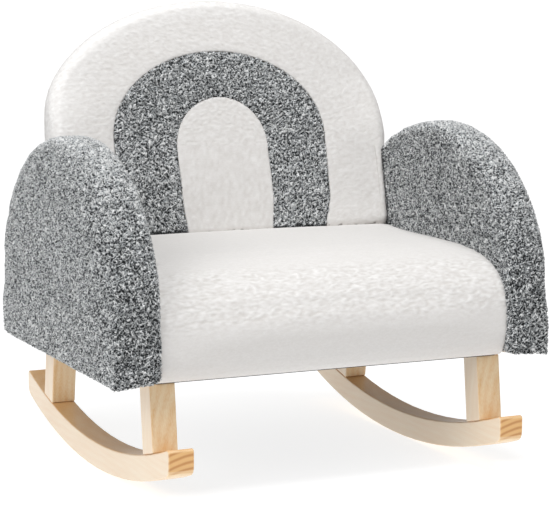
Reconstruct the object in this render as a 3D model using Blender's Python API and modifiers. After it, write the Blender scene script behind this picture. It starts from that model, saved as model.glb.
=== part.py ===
"""Child's rocking armchair.

A low armchair with a fully upholstered seat, two arched arms and an arched back whose front
is sewn from three nested panels. It stands on two curved wooden runners, each carried by a
front and a rear leg. The chair faces -Y, its left and right are those of someone facing it,
and the origin is on the floor, midway between the two runners, at the lowest point of their
curve. All sizes are in metres.
"""

import math

import bmesh
import bpy
from mathutils import Matrix, Vector

# Clearances and fabric
FIT_GAP = 0.0003
COVER_THICKNESS = 0.0022
SEAM_GAP = 0.0004
DUST_COVER_THICKNESS = 0.0010

# Arms
CHAIR_WIDTH = 0.560
ARM_THICKNESS = 0.0605
ARM_FRONT = -0.2305
ARM_LENGTH = 0.4235
ARM_WALL_HEIGHT = 0.0920
ARM_ARCH_HEIGHT = 0.1765
ARM_ARCH_POWER = 1.88
ARM_EDGE_RADIUS = 0.0160
ARM_CROWN = 0.0040
ARM_CROWN_REACH = 0.0700
ARM_CROWN_STATIONS = (0.45, 0.80)
ARM_DROP_SHARE = 0.25
ARM_CORNER_SHARE = 0.3
ARM_LEAST_CORNER = 0.0020
ARM_FRONT_CORNER = 0.0070
ARM_REAR_CORNER = 0.0220
ARM_BOARD_THICKNESS = 0.0180
ARM_INNER_PAD = 0.0080
ARM_RIM_PAD = 0.0220

# Seat
UNDERSIDE_HEIGHT = 0.1370
SEAT_HEIGHT = 0.2635
SEAT_FRONT = -0.2255
SEAT_NOSE_DEPTH = 0.1645
SEAT_NOSE_DROP = 0.0790
SEAT_NOSE_POWER = 3.0
SEAT_NOSE_FOLLOW = 0.5
SEAT_UNDERCUT = 0.0090
SEAT_UNDERCUT_POWER = 3
SEAT_EDGE_RADIUS = 0.0040
SEAT_CROWN = 0.0040
SEAT_MIDDLE_STATION = 0.62
SEAT_NOSE_STEPS = 8
SEAT_UNDERCUT_STEPS = 3
SEAT_FRONT_PAD = 0.0240
SEAT_TUCK = 0.0060

# Back, heights along its face from the seat's top
BACK_FACE = 0.0945
BACK_RECLINE = math.radians(13.0)
BACK_THICKNESS = 0.0390
BACK_HALF_WIDTH = 0.2370
BACK_SPRING = 0.1330
BACK_HEIGHT = 0.3030
BACK_FRONT_RADIUS = 0.0110
BACK_REAR_RADIUS = 0.0190
BACK_CROWN = 0.0030
BACK_CROWN_RISE = 0.0900
BACK_SWELL_START = 0.0940
BACK_SWELL_END = 0.1400
BACK_PINCH = 0.4
BACK_SIDE_BULGE = 0.0150
BACK_BULGE_START = 0.0060
BACK_BULGE_END = 0.0400
BACK_BULGE_FADE_START = 0.1100
BACK_BULGE_FADE_END = 0.1900
BACK_BULGE_REACH = 1.2
BACK_TUCK = 0.05
BACK_TUCK_HEIGHT = 0.0600
BACK_BOARD_THICKNESS = 0.0150
BACK_REAR_PAD = 0.0030
BACK_RIM_PAD = 0.0240
REAR_FLARE_START = 0.2000
REAR_FLARE_END = 0.3600
ARCH_PANEL_HALF_WIDTH = 0.1480
ARCH_PANEL_SPRING = 0.1240
ARCH_PANEL_HEIGHT = 0.2395
CENTRE_PANEL_HALF_WIDTH = 0.0635
CENTRE_PANEL_SPRING = 0.1120
CENTRE_PANEL_HEIGHT = 0.1770
CENTRE_PANEL_CORE = 0.0020

# Base frame
BASE_REAR = 0.1800
RAIL_THICKNESS = 0.0240
RAIL_HEIGHT = 0.0450
DECK_THICKNESS = 0.0090
CORNER_BLOCK_SIZE = 0.0420

# Runners and legs
RUNNER_RADIUS = 0.7810
RUNNER_TOP_ARC = 0.8000
RUNNER_DEPTH = 0.0315
RUNNER_WIDTH = 0.0310
RUNNER_HALF_LENGTH = 0.2565
RUNNER_HEEL_RADIUS = 0.0130
RUNNER_TOP_RADIUS = 0.0030
WOOD_EDGE_ROUNDING = 0.0015
LEG_REACH_UNDER_ARM = 0.0061
LEG_DEPTH = 0.0320
FRONT_LEG_FOOT = -0.1920
FRONT_LEG_SPLAY = math.radians(6.5)
REAR_LEG_FOOT = 0.1710
REAR_LEG_SPLAY = math.radians(9.0)

# Dowels, bolts and nuts
DOWEL_RADIUS = 0.0040
DOWEL_DEPTH = 0.0170
DOWEL_SPACING = 0.0150
BOLT_RADIUS = 0.0030
BOLT_HEAD_RADIUS = 0.0050
BOLT_HEAD_HEIGHT = 0.0060
LEG_BOLT_DEPTH = 0.0280
NUT_BARREL_RADIUS = 0.0042
NUT_BARREL_LENGTH = 0.0090
NUT_FLANGE_RADIUS = 0.0090
NUT_FLANGE_THICKNESS = 0.0015
INSERT_RADIUS = 0.0044
INSERT_LENGTH = 0.0095
BOLT_SHORT_OF_INSERT = 0.0010
BORE_OVERRUN = 0.0024
ARM_BOLT_SETBACK = 0.0180
BACK_BOLT_SPACING = 0.2400

# Fineness of the facets
ARC_STEPS = 18
EDGE_STEPS = 3
ROUND_STEPS = 12
RUNNER_STEPS = 17
WALL_STEPS = 6
SHARP_ANGLE = math.radians(35)
BEVEL_ANGLE = math.radians(40)
MERGE_DISTANCE = 0.00001
RING_RISE = 0.0020
CORE_SHARE = 0.45
UNDERSIDE_SLOPE = 0.9
ARM_UNDERSIDE_SLOPE = 0.7
REAR_SLOPE = 0.5

SIDES = {"left": -1, "right": 1}

# Places that follow from the sizes
SKIN = FIT_GAP + COVER_THICKNESS
ARM_INNER_FACE = CHAIR_WIDTH / 2 - ARM_THICKNESS
SEAT_HALF_WIDTH = ARM_INNER_FACE - FIT_GAP
FRAME_HALF_WIDTH = SEAT_HALF_WIDTH - SKIN
RAIL_BOTTOM = UNDERSIDE_HEIGHT + DUST_COVER_THICKNESS + FIT_GAP
PAD_BOTTOM = UNDERSIDE_HEIGHT + SKIN
RAIL_TOP = RAIL_BOTTOM + RAIL_HEIGHT
DECK_BOTTOM = RAIL_TOP + FIT_GAP
DECK_TOP = DECK_BOTTOM + DECK_THICKNESS
FOAM_BOTTOM = DECK_TOP + FIT_GAP
FRAME_FRONT = SEAT_FRONT + SKIN + SEAT_FRONT_PAD
FRAME_REAR = BASE_REAR - SKIN
SIDE_REAR = FRAME_REAR - BACK_REAR_RADIUS * BACK_PINCH
SIDE_RAIL_MIDDLE = FRAME_HALF_WIDTH - RAIL_THICKNESS / 2
RUNNER_OUTER_FACE = ARM_INNER_FACE + LEG_REACH_UNDER_ARM
RUNNER_MIDDLE = RUNNER_OUTER_FACE - RUNNER_WIDTH / 2
LEG_TOP = UNDERSIDE_HEIGHT - FIT_GAP
LEGS = {
    "front": (FRONT_LEG_FOOT, -FRONT_LEG_SPLAY),
    "rear": (REAR_LEG_FOOT, REAR_LEG_SPLAY),
}


def clear_scene():
    for item in list(bpy.data.objects):
        bpy.data.objects.remove(item, do_unlink=True)


def new_collection(name):
    collection = bpy.data.collections.new(name)
    bpy.context.scene.collection.children.link(collection)
    return collection


def finish(name, colour, roughness, metallic=0.0):
    """A plain Principled material from an RGB colour."""
    material = bpy.data.materials.new(name)
    material.use_nodes = True
    shader = material.node_tree.nodes["Principled BSDF"]
    shader.inputs["Base Color"].default_value = (*colour, 1.0)
    shader.inputs["Roughness"].default_value = roughness
    shader.inputs["Metallic"].default_value = metallic
    return material


def smoothstep(low, high, value):
    share = min(max((value - low) / (high - low), 0.0), 1.0)
    return share * share * (3 - 2 * share)


def power_arc(turn, power):
    """Signed cosine and sine of a superellipse of the given power; 2 gives a plain ellipse."""
    across = math.copysign(abs(math.cos(turn)) ** (2 / power), math.cos(turn))
    return across, max(0.0, math.sin(turn)) ** (2 / power)


def spread(start, end, count):
    """Evenly spaced values from start to end, both included."""
    return [start + (end - start) * step / (count - 1) for step in range(count)]


# Building tools


def loft_mesh(sections, closed=True, first="face", last="face"):
    """Faces between matching points of neighbouring sections; an end is open, a face or a ladder.

    A ladder joins each point of an arch to the one opposite, so that the end can be crowned.
    """
    bm = bmesh.new()
    rings = [[bm.verts.new(point) for point in section] for section in sections]
    count = len(rings[0])
    for ring, following in zip(rings, rings[1:]):
        for here in range(count if closed else count - 1):
            beside = (here + 1) % count
            bm.faces.new((ring[here], ring[beside], following[beside], following[here]))
    for ring, ending in ((rings[0], first), (rings[-1], last)):
        if ending == "face":
            bm.faces.new(ring)
        elif ending == "ladder":
            crown = count // 2
            for here in range(crown):
                rung = [ring[here], ring[here + 1], ring[-here - 2], ring[-here - 1]]
                bm.faces.new(rung if here < crown - 1 else rung[:2] + rung[3:])
    return bm


def face_outwards(bm):
    bmesh.ops.recalc_face_normals(bm, faces=bm.faces)
    bmesh.ops.triangulate(bm, faces=bm.faces, quad_method="FIXED")


def add_piece(name, bm, material):
    """Put a finished bmesh in the chair's collection as a named object."""
    mesh = bpy.data.meshes.new(name)
    bm.to_mesh(mesh)
    bm.free()
    mesh.shade_smooth()
    mesh.set_sharp_from_angle(angle=SHARP_ANGLE)
    mesh.materials.append(material)
    piece = bpy.data.objects.new(name, mesh)
    CHAIR.objects.link(piece)
    return piece


def solid(name, sections, material):
    """A closed solid lofted through closed sections."""
    bm = loft_mesh(sections)
    bmesh.ops.recalc_face_normals(bm, faces=bm.faces)
    return add_piece(name, bm, material)


def padding(name, sections, material, ends="face"):
    """A closed soft solid whose facets its cover shares."""
    bm = loft_mesh(sections, first=ends, last=ends)
    face_outwards(bm)
    return add_piece(name, bm, material)


def prism(name, outline, low, high, material, rounding=0.0):
    """A (y, z) outline carried across the chair from x = low to x = high."""
    piece = solid(name, [[Vector((x, y, z)) for y, z in outline] for x in (low, high)], material)
    if rounding:
        bevel = piece.modifiers.new("Soft edges", "BEVEL")
        bevel.width = rounding
        bevel.segments = 2
        bevel.limit_method = "ANGLE"
        bevel.angle_limit = BEVEL_ANGLE
    return piece


def skin(name, bm, material):
    """Fabric laid over a surface whose faces point outwards, one fit gap away from it."""
    bm.normal_update()
    moves = [(vert, vert.normal * vert.calc_shell_factor() * FIT_GAP) for vert in bm.verts]
    for vert, move in moves:
        vert.co += move
    piece = add_piece(name, bm, material)
    wall = piece.modifiers.new("Fabric", "SOLIDIFY")
    wall.thickness = COVER_THICKNESS
    wall.offset = 1.0
    wall.use_even_offset = True
    return piece


def turned(name, profile, material, place, direction):
    """Revolve (radius, height) points, listed top to bottom, about an axis through place."""
    mesh = bpy.data.meshes.new(name)
    points = [(radius, 0.0, height) for radius, height in profile]
    mesh.from_pydata(points, [(here, here + 1) for here in range(len(points) - 1)], [])
    mesh.materials.append(material)
    piece = bpy.data.objects.new(name, mesh)
    CHAIR.objects.link(piece)
    piece.location = place
    piece.rotation_mode = "QUATERNION"
    piece.rotation_quaternion = direction.to_track_quat("Z", "Y")
    screw = piece.modifiers.new("Turning", "SCREW")
    screw.steps = ROUND_STEPS
    screw.render_steps = ROUND_STEPS
    screw.use_merge_vertices = True
    screw.merge_threshold = MERGE_DISTANCE
    return piece


def cylinder_cutter(name, radius, start, end):
    """A round cutter whose flats clear a rod of the given radius."""
    bm = bmesh.new()
    length = (end - start).length
    outer = radius / math.cos(math.pi / ROUND_STEPS)
    turn = (end - start).to_track_quat("Z", "Y").to_matrix().to_4x4()
    matrix = Matrix.Translation((start + end) / 2) @ turn
    bmesh.ops.create_cone(
        bm,
        cap_ends=True,
        segments=ROUND_STEPS,
        radius1=outer,
        radius2=outer,
        depth=length,
        matrix=matrix,
    )
    return add_cutter(name, bm)


def add_cutter(name, bm):
    mesh = bpy.data.meshes.new(name)
    bm.to_mesh(mesh)
    bm.free()
    cutter = bpy.data.objects.new(name, mesh)
    cutter.hide_render = True
    cutter.display_type = "WIRE"
    CUTTERS.objects.link(cutter)
    return cutter


def cut(piece, cutter):
    """Remove the cutter's volume from a piece."""
    boolean = piece.modifiers.new(cutter.name, "BOOLEAN")
    boolean.operation = "DIFFERENCE"
    boolean.solver = "EXACT"
    boolean.object = cutter


# Runners and legs


def arc_rise(y, radius):
    """Height at y of an arc's facet corners above the facet that lies across its lowest point."""
    half_facet = RUNNER_HALF_LENGTH / RUNNER_STEPS
    return math.sqrt(radius * radius - half_facet * half_facet) - math.sqrt(radius * radius - y * y)


def leg_foot_height(y):
    """Height of a leg's end over the runner's top, clear of the chords of its facets."""
    half_facet = RUNNER_HALF_LENGTH / RUNNER_STEPS
    sag = half_facet * half_facet / (2 * RUNNER_TOP_ARC)
    return RUNNER_DEPTH + arc_rise(y, RUNNER_TOP_ARC) + sag + FIT_GAP


def fillet(corner, before, after, radius, steps):
    """Points of an arc that rounds a corner between two neighbouring points."""
    towards_before = (before - corner).normalized()
    towards_after = (after - corner).normalized()
    half = towards_before.angle(towards_after) / 2
    reach = radius / math.tan(half)
    centre = corner + (towards_before + towards_after).normalized() * radius / math.sin(half)
    first = corner + towards_before * reach - centre
    last = corner + towards_after * reach - centre
    sweep = first.angle_signed(last)
    return [centre + Matrix.Rotation(-sweep * step / steps, 2) @ first for step in range(steps + 1)]


def runner_outline():
    """Side view of a runner: two arcs with upright ends and rounded corners.

    The top arc is flatter than the rocking curve, so the ends are a little slimmer.
    """
    places = spread(-RUNNER_HALF_LENGTH, RUNNER_HALF_LENGTH, RUNNER_STEPS + 1)
    bottom = [Vector((y, arc_rise(y, RUNNER_RADIUS))) for y in places]
    top = [Vector((y, RUNNER_DEPTH + arc_rise(y, RUNNER_TOP_ARC))) for y in reversed(places)]
    outline = bottom[1:-1]
    outline += fillet(bottom[-1], bottom[-2], top[0], RUNNER_HEEL_RADIUS, 4)
    outline += fillet(top[0], bottom[-1], top[1], RUNNER_TOP_RADIUS, 2)
    outline += top[1:-1]
    outline += fillet(top[-1], top[-2], bottom[0], RUNNER_TOP_RADIUS, 2)
    outline += fillet(bottom[0], top[-1], bottom[1], RUNNER_HEEL_RADIUS, 4)
    return outline


def leg_line(place, splay):
    """Foot and head in (y, z) of a line along a leg; a positive splay leans its head forward."""
    low = leg_foot_height(place)
    return Vector((place, low)), Vector((place - (LEG_TOP - low) * math.tan(splay), LEG_TOP))


def leg_outline(foot, splay):
    """Side view of a leg whose bottom follows the runner and whose top is level."""
    front_low, front_high = leg_line(foot - LEG_DEPTH / 2, splay)
    rear_low, rear_high = leg_line(foot + LEG_DEPTH / 2, splay)
    return [front_low, front_high, rear_high, rear_low]


def build_runner(side, wood, dowel_wood, steel):
    """One runner with its two legs, their dowels, and the bolts that hold the legs on."""
    sign = SIDES[side]
    low = sign * RUNNER_MIDDLE - RUNNER_WIDTH / 2
    high = sign * RUNNER_MIDDLE + RUNNER_WIDTH / 2
    runner = prism(f"runner_{side}", runner_outline(), low, high, wood, WOOD_EDGE_ROUNDING)
    for end, (foot, splay) in LEGS.items():
        name = f"leg_{end}_{side}"
        leg = prism(name, leg_outline(foot, splay), low, high, wood, WOOD_EDGE_ROUNDING)
        bottom, top = leg_line(foot, splay)
        along = (top - bottom).normalized()
        for half, shift in (("inner", -sign), ("outer", sign)):
            x = sign * RUNNER_MIDDLE + shift * DOWEL_SPACING / 2
            low_end = Vector((x, *(bottom - along * DOWEL_DEPTH)))
            high_end = Vector((x, *(bottom + along * DOWEL_DEPTH)))
            gap = (high_end - low_end).normalized() * FIT_GAP
            hole_radius = DOWEL_RADIUS + FIT_GAP
            hole = cylinder_cutter(f"{name}_{half}_hole", hole_radius, low_end - gap, high_end + gap)
            cut(runner, hole)
            cut(leg, hole)
            length = (high_end - low_end).length
            rod = [(0.0, length), (DOWEL_RADIUS, length), (DOWEL_RADIUS, 0.0), (0.0, 0.0)]
            turned(f"dowel_{end}_{side}_{half}", rod, dowel_wood, low_end, high_end - low_end)
        build_leg_bolt(end, side, leg, top.x, steel)


def build_leg_bolt(end, side, leg, y, steel):
    """A threaded stud from the leg into a flanged nut let into the top of the side rail."""
    x = SIDES[side] * SIDE_RAIL_MIDDLE
    low = Vector((x, y, LEG_TOP - LEG_BOLT_DEPTH))
    high = Vector((x, y, RAIL_TOP - NUT_FLANGE_THICKNESS))
    lift = Vector((0, 0, FIT_GAP))
    hole = cylinder_cutter(f"leg_bolt_{end}_{side}_hole", BOLT_RADIUS + FIT_GAP, low - lift, high + lift)
    for piece in (leg, RAILS[side], bpy.data.objects["dust_cover"]):
        cut(piece, hole)
    length = (high - low).length
    stud = [(0.0, length), (BOLT_RADIUS, length), (BOLT_RADIUS, 0.0), (0.0, 0.0)]
    turned(f"leg_bolt_{end}_{side}", stud, steel, low, Vector((0, 0, 1)))

    flange_top = RAIL_TOP - FIT_GAP
    barrel_top = flange_top - NUT_FLANGE_THICKNESS
    bore = BOLT_RADIUS + FIT_GAP
    barrel_low = barrel_top - NUT_BARREL_LENGTH
    nut = [
        (bore, flange_top - barrel_low),
        (NUT_FLANGE_RADIUS, flange_top - barrel_low),
        (NUT_FLANGE_RADIUS, barrel_top - barrel_low),
        (NUT_BARREL_RADIUS, barrel_top - barrel_low),
        (NUT_BARREL_RADIUS, 0.0),
        (bore, 0.0),
        (bore, flange_top - barrel_low),
    ]
    turned(f"leg_nut_{end}_{side}", nut, steel, Vector((x, y, barrel_low)), Vector((0, 0, 1)))
    recess = cylinder_cutter(
        f"leg_nut_{end}_{side}_recess",
        NUT_FLANGE_RADIUS + FIT_GAP,
        Vector((x, y, barrel_top - FIT_GAP)),
        Vector((x, y, RAIL_TOP + FIT_GAP)),
    )
    socket = cylinder_cutter(
        f"leg_nut_{end}_{side}_socket",
        NUT_BARREL_RADIUS + FIT_GAP,
        Vector((x, y, barrel_low - FIT_GAP)),
        Vector((x, y, barrel_top)),
    )
    cut(RAILS[side], recess)
    cut(RAILS[side], socket)


# Base frame


def face_y(z):
    """Depth of the back's front face plane at a height."""
    return BACK_FACE + (z - SEAT_HEIGHT) * math.tan(BACK_RECLINE)


def rear_y(z):
    """Depth of the back's rear: parallel to the face, and flared out to the base low down."""
    plane = face_y(z) + BACK_THICKNESS / math.cos(BACK_RECLINE)
    return BASE_REAR + (plane - BASE_REAR) * smoothstep(REAR_FLARE_START, REAR_FLARE_END, z)


def rectangle(front, rear, low, high):
    """A (y, z) rectangle."""
    return [(front, low), (rear, low), (rear, high), (front, high)]


def build_base(wood, plywood, cloth):
    """Four rails, their corner blocks, the deck and the dust cover."""
    inner = FRAME_HALF_WIDTH - RAIL_THICKNESS
    for side, sign in SIDES.items():
        outline = rectangle(FRAME_FRONT, SIDE_REAR, RAIL_BOTTOM, RAIL_TOP)
        ends = sorted((sign * inner, sign * FRAME_HALF_WIDTH))
        RAILS[side] = prism(f"rail_{side}", outline, *ends, wood)
    span = inner - FIT_GAP
    front_rear = FRAME_FRONT + RAIL_THICKNESS
    prism("rail_front", rectangle(FRAME_FRONT, front_rear, RAIL_BOTTOM, RAIL_TOP), -span, span, wood)
    rear_front = FRAME_REAR - RAIL_THICKNESS
    prism("rail_rear", rectangle(rear_front, FRAME_REAR, RAIL_BOTTOM, RAIL_TOP), -span, span, wood)
    for side, sign in SIDES.items():
        for end, y, inwards in (("front", front_rear + FIT_GAP, 1), ("rear", rear_front - FIT_GAP, -1)):
            x = sign * (inner - FIT_GAP)
            reach = x - sign * CORNER_BLOCK_SIZE
            corner = [(x, y), (reach, y), (x, y + inwards * CORNER_BLOCK_SIZE)]
            sections = [[Vector((*point, z)) for point in corner] for z in (RAIL_BOTTOM, RAIL_TOP)]
            solid(f"corner_block_{end}_{side}", sections, wood)
    deck = rectangle(FRAME_FRONT, SIDE_REAR, DECK_BOTTOM, DECK_TOP)
    prism("seat_deck", deck, -FRAME_HALF_WIDTH, FRAME_HALF_WIDTH, plywood)
    sheet_front = SEAT_FRONT + SKIN + SEAT_UNDERCUT + SEAT_TUCK + SEAT_EDGE_RADIUS
    sheet_top = UNDERSIDE_HEIGHT + DUST_COVER_THICKNESS
    sheet = rectangle(sheet_front, FRAME_REAR, UNDERSIDE_HEIGHT, sheet_top)
    prism("dust_cover", sheet, -FRAME_HALF_WIDTH, FRAME_HALF_WIDTH, cloth)


# Seat


def seat_sections(lower_edge):
    """Sections of the seat across the chair, in (y, z), each ending with lower_edge(inset).

    The top rolls over a full nose to the belly of the front, which draws in again to its hem.
    """
    half = FRAME_HALF_WIDTH
    rounding = [
        (half - SEAT_EDGE_RADIUS * (1 - math.cos(turn)), SEAT_EDGE_RADIUS * (1 - math.sin(turn)))
        for turn in spread(0, math.pi / 2, EDGE_STEPS + 1)
    ]
    right = rounding + [(half * SEAT_MIDDLE_STATION, 0.0), (0.0, 0.0)]
    stations = [(-x, inset) for x, inset in right] + [station for station in reversed(right[:-1])]
    top = SEAT_HEIGHT - SKIN
    front = SEAT_FRONT + SKIN
    sections = []
    for x, inset in stations:
        lift = SEAT_CROWN * (1 - (x / half) ** 2) - inset
        rear = face_y(top + lift) - FIT_GAP
        knee = front + SEAT_NOSE_DEPTH
        points = [(y, top + lift) for y in (rear, (rear + knee) / 2)]
        drop = SEAT_NOSE_DROP - inset * SEAT_NOSE_FOLLOW
        for turn in spread(math.pi / 2, 0, SEAT_NOSE_STEPS + 1):
            across, up = power_arc(turn, SEAT_NOSE_POWER)
            points.append((knee - (SEAT_NOSE_DEPTH - inset) * across, top + lift - drop * (1 - up)))
        belly = top + lift - drop
        hem = PAD_BOTTOM + SEAT_TUCK
        for share in spread(0, 1, SEAT_UNDERCUT_STEPS + 1)[1:-1]:
            y = front + inset + SEAT_UNDERCUT * share**SEAT_UNDERCUT_POWER
            points.append((y, belly + (hem - belly) * share))
        points += lower_edge(inset)
        sections.append([Vector((x, y, z)) for y, z in points])
    return sections


def build_seat(foam, white):
    """Foam over the deck and down the front of the frame, and the fitted cover over it."""
    front = SEAT_FRONT + SKIN + SEAT_UNDERCUT

    def foam_edge(inset):
        return [
            (front + inset, PAD_BOTTOM + SEAT_TUCK),
            (front + inset + SEAT_TUCK, PAD_BOTTOM),
            (FRAME_FRONT - FIT_GAP, PAD_BOTTOM),
            (FRAME_FRONT - FIT_GAP, FOAM_BOTTOM),
            (face_y(FOAM_BOTTOM) - FIT_GAP - inset, FOAM_BOTTOM),
        ]

    def cover_edge(inset):
        return [
            (front + inset, PAD_BOTTOM + SEAT_TUCK),
            (front + inset + SEAT_TUCK, PAD_BOTTOM),
            (face_y(PAD_BOTTOM) - FIT_GAP, PAD_BOTTOM),
        ]

    padding("seat_foam", seat_sections(foam_edge), foam)
    bm = loft_mesh(seat_sections(cover_edge))
    face_outwards(bm)
    open_faces = [
        face
        for face in bm.faces
        if face.normal.z < -UNDERSIDE_SLOPE or face.normal.y > REAR_SLOPE
    ]
    bmesh.ops.delete(bm, geom=open_faces, context="FACES")
    return skin("seat_cover", bm, white)


# Back


def nested_arch(half_width):
    """Spring and top heights of the arch of a given half width, between the sewn seams."""
    keys = [
        (0.0, CENTRE_PANEL_SPRING, CENTRE_PANEL_SPRING + CENTRE_PANEL_CORE),
        (CENTRE_PANEL_HALF_WIDTH, CENTRE_PANEL_SPRING, CENTRE_PANEL_HEIGHT),
        (ARCH_PANEL_HALF_WIDTH, ARCH_PANEL_SPRING, ARCH_PANEL_HEIGHT),
        (BACK_HALF_WIDTH - SKIN, BACK_SPRING, BACK_HEIGHT - SKIN),
    ]
    for (w0, s0, h0), (w1, s1, h1) in zip(keys, keys[1:]):
        if half_width <= w1 + 1e-9:
            share = (half_width - w0) / (w1 - w0)
            return s0 + (s1 - s0) * share, h0 + (h1 - h0) * share
    raise ValueError("this arch is wider than the back")


def arch_points(half_width, bottom, skirt=None):
    """(x, height) points up one side of an arch, over it and down the other side."""
    spring, top = nested_arch(half_width)
    wall = [bottom] + spread(BACK_BULGE_START, spring, WALL_STEPS)[:-1]
    if skirt is not None:
        wall = [skirt] + wall
    points = [(-half_width, height) for height in wall]
    for turn in spread(math.pi, 0, ARC_STEPS + 1):
        points.append((half_width * math.cos(turn), spring + (top - spring) * math.sin(turn)))
    return points + [(half_width, height) for height in reversed(wall)]


def face_height(z):
    """Distance along the back's face from the seat's top to a height."""
    return (z - SEAT_HEIGHT) / math.cos(BACK_RECLINE)


def back_ring(half_width, depth, bottom_z, from_rear=False, skirt_z=None):
    """One arch of the padded back, depth behind its face or in front of its rear.

    The arms pinch the outer rings low down, where the face bulges a little in front of them.
    """
    full = BACK_HALF_WIDTH - SKIN
    rim = full - half_width
    flat = full - BACK_FRONT_RADIUS
    reach = max(0.0, (half_width - ARCH_PANEL_HALF_WIDTH) / (full - ARCH_PANEL_HALF_WIDTH))
    skirt = None if skirt_z is None else face_height(skirt_z)
    ring = []
    for x, height in arch_points(half_width, face_height(bottom_z), skirt):
        swell = smoothstep(BACK_SWELL_START, BACK_SWELL_END, height)
        pinch = 1 - (1 - BACK_PINCH) * (1 - swell)
        low = FRAME_HALF_WIDTH * reach + half_width * (1 - reach)
        if rim < BACK_RIM_PAD + FIT_GAP:
            low = FRAME_HALF_WIDTH - rim * BACK_PINCH
        share = swell + (1 - swell) * low / half_width
        share *= 1 - BACK_TUCK * (1 - smoothstep(0, BACK_TUCK_HEIGHT, height)) * (1 - reach)
        z = SEAT_HEIGHT + height * math.cos(BACK_RECLINE)
        if from_rear:
            y = rear_y(z) - SKIN - depth * pinch
        else:
            y = face_y(z) + SKIN + depth * pinch
            rise = smoothstep(0, BACK_CROWN_RISE, height)
            y -= BACK_CROWN * rise * max(0.0, 1 - (half_width / flat) ** 2)
            bulge = smoothstep(BACK_BULGE_START, BACK_BULGE_END, height)
            bulge -= smoothstep(BACK_BULGE_FADE_START, BACK_BULGE_FADE_END, height)
            y -= BACK_SIDE_BULGE * bulge * min(1.0, reach * BACK_BULGE_REACH)
        ring.append(Vector((x * share, y, z)))
    return ring


def edge_rings(radius, bottom_z, from_rear, skirt_z=None):
    """Rings of the rounded edge, from the side wall to the face or the rear."""
    full = BACK_HALF_WIDTH - SKIN
    rings = []
    for turn in spread(0, math.pi / 2, EDGE_STEPS + 1):
        inset = radius * (1 - math.cos(turn))
        depth = radius * (1 - math.sin(turn))
        rings.append(back_ring(full - inset, depth, bottom_z, from_rear, skirt_z))
    return rings


def between(ring, other, distance):
    """A ring on the facets between two others, a given distance from the first at the crown."""
    crown = len(ring) // 2
    share = distance / (other[crown] - ring[crown]).length
    return [here.lerp(there, share) for here, there in zip(ring, other)]


def build_back(foam, plywood, white, grey):
    """The foam round its board, three nested front panels and the cover over its rear."""
    full = BACK_HALF_WIDTH - SKIN
    flat = full - BACK_FRONT_RADIUS
    centre = CENTRE_PANEL_HALF_WIDTH
    arch = ARCH_PANEL_HALF_WIDTH
    widths = [(flat + arch) / 2, arch, (arch + centre) / 2, centre, centre * CORE_SHARE]
    face = [
        back_ring(width, 0.0, FOAM_BOTTOM + RING_RISE * (place + 1))
        for place, width in enumerate(widths)
    ]
    rear_edge = edge_rings(BACK_REAR_RADIUS, FOAM_BOTTOM, True)
    front_edge = edge_rings(BACK_FRONT_RADIUS, FOAM_BOTTOM, False)
    rings = list(reversed(rear_edge)) + front_edge + face
    back_foam = padding("back_foam", rings, foam, "ladder")

    board_half = full - BACK_RIM_PAD
    solid("back_board", board_rings(board_half, 0.0, FOAM_BOTTOM), plywood)
    pocket = loft_mesh(board_rings(board_half + FIT_GAP, FIT_GAP, FOAM_BOTTOM - BACK_BOARD_THICKNESS))
    bmesh.ops.recalc_face_normals(pocket, faces=pocket.faces)
    cut(back_foam, add_cutter("back_board_pocket", pocket))

    band_middle, arch_seam, arch_middle, centre_seam, core = face
    seam = SEAM_GAP / 2
    side_seam = between(rear_edge[0], front_edge[0], SEAM_GAP)
    band = [side_seam] + front_edge + [band_middle, between(arch_seam, band_middle, seam)]
    middle = [between(arch_seam, arch_middle, seam), arch_middle, between(centre_seam, arch_middle, seam)]
    inner = [between(centre_seam, core, seam), core]
    back_cover("back_band_cover", band, white, -1)
    back_cover("back_arch_panel", middle, grey, -1)
    back_cover("back_centre_panel", inner, white, -1, last="ladder")
    rear = list(reversed(edge_rings(BACK_REAR_RADIUS, FOAM_BOTTOM, True, RAIL_BOTTOM)))
    back_cover("back_rear_cover", rear, white, 1, first="ladder")


def board_rings(half_width, growth, bottom_z):
    """The front and rear outlines of the reclined board, or of the pocket that it fills."""
    arch = back_ring(half_width, 0.0, bottom_z)
    lean = math.cos(BACK_RECLINE)
    rear = BACK_THICKNESS / lean - SKIN - BACK_REAR_PAD
    front = rear - BACK_BOARD_THICKNESS / lean
    depths = (front - growth, rear + growth)
    return [[Vector((point.x, face_y(point.z) + depth, point.z)) for point in arch] for depth in depths]


def back_cover(name, rings, cloth, facing, first="open", last="open"):
    """One sewn panel laid over rings of the back, facing forwards (-1) or backwards (1)."""
    bm = loft_mesh(rings, closed=False, first=first, last=last)
    bmesh.ops.triangulate(bm, faces=bm.faces, quad_method="FIXED")
    bmesh.ops.recalc_face_normals(bm, faces=bm.faces)
    if sum(face.normal.y * face.calc_area() for face in bm.faces) * facing < 0:
        bmesh.ops.reverse_faces(bm, faces=bm.faces)
    skin(name, bm, cloth)


# Arms


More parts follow.
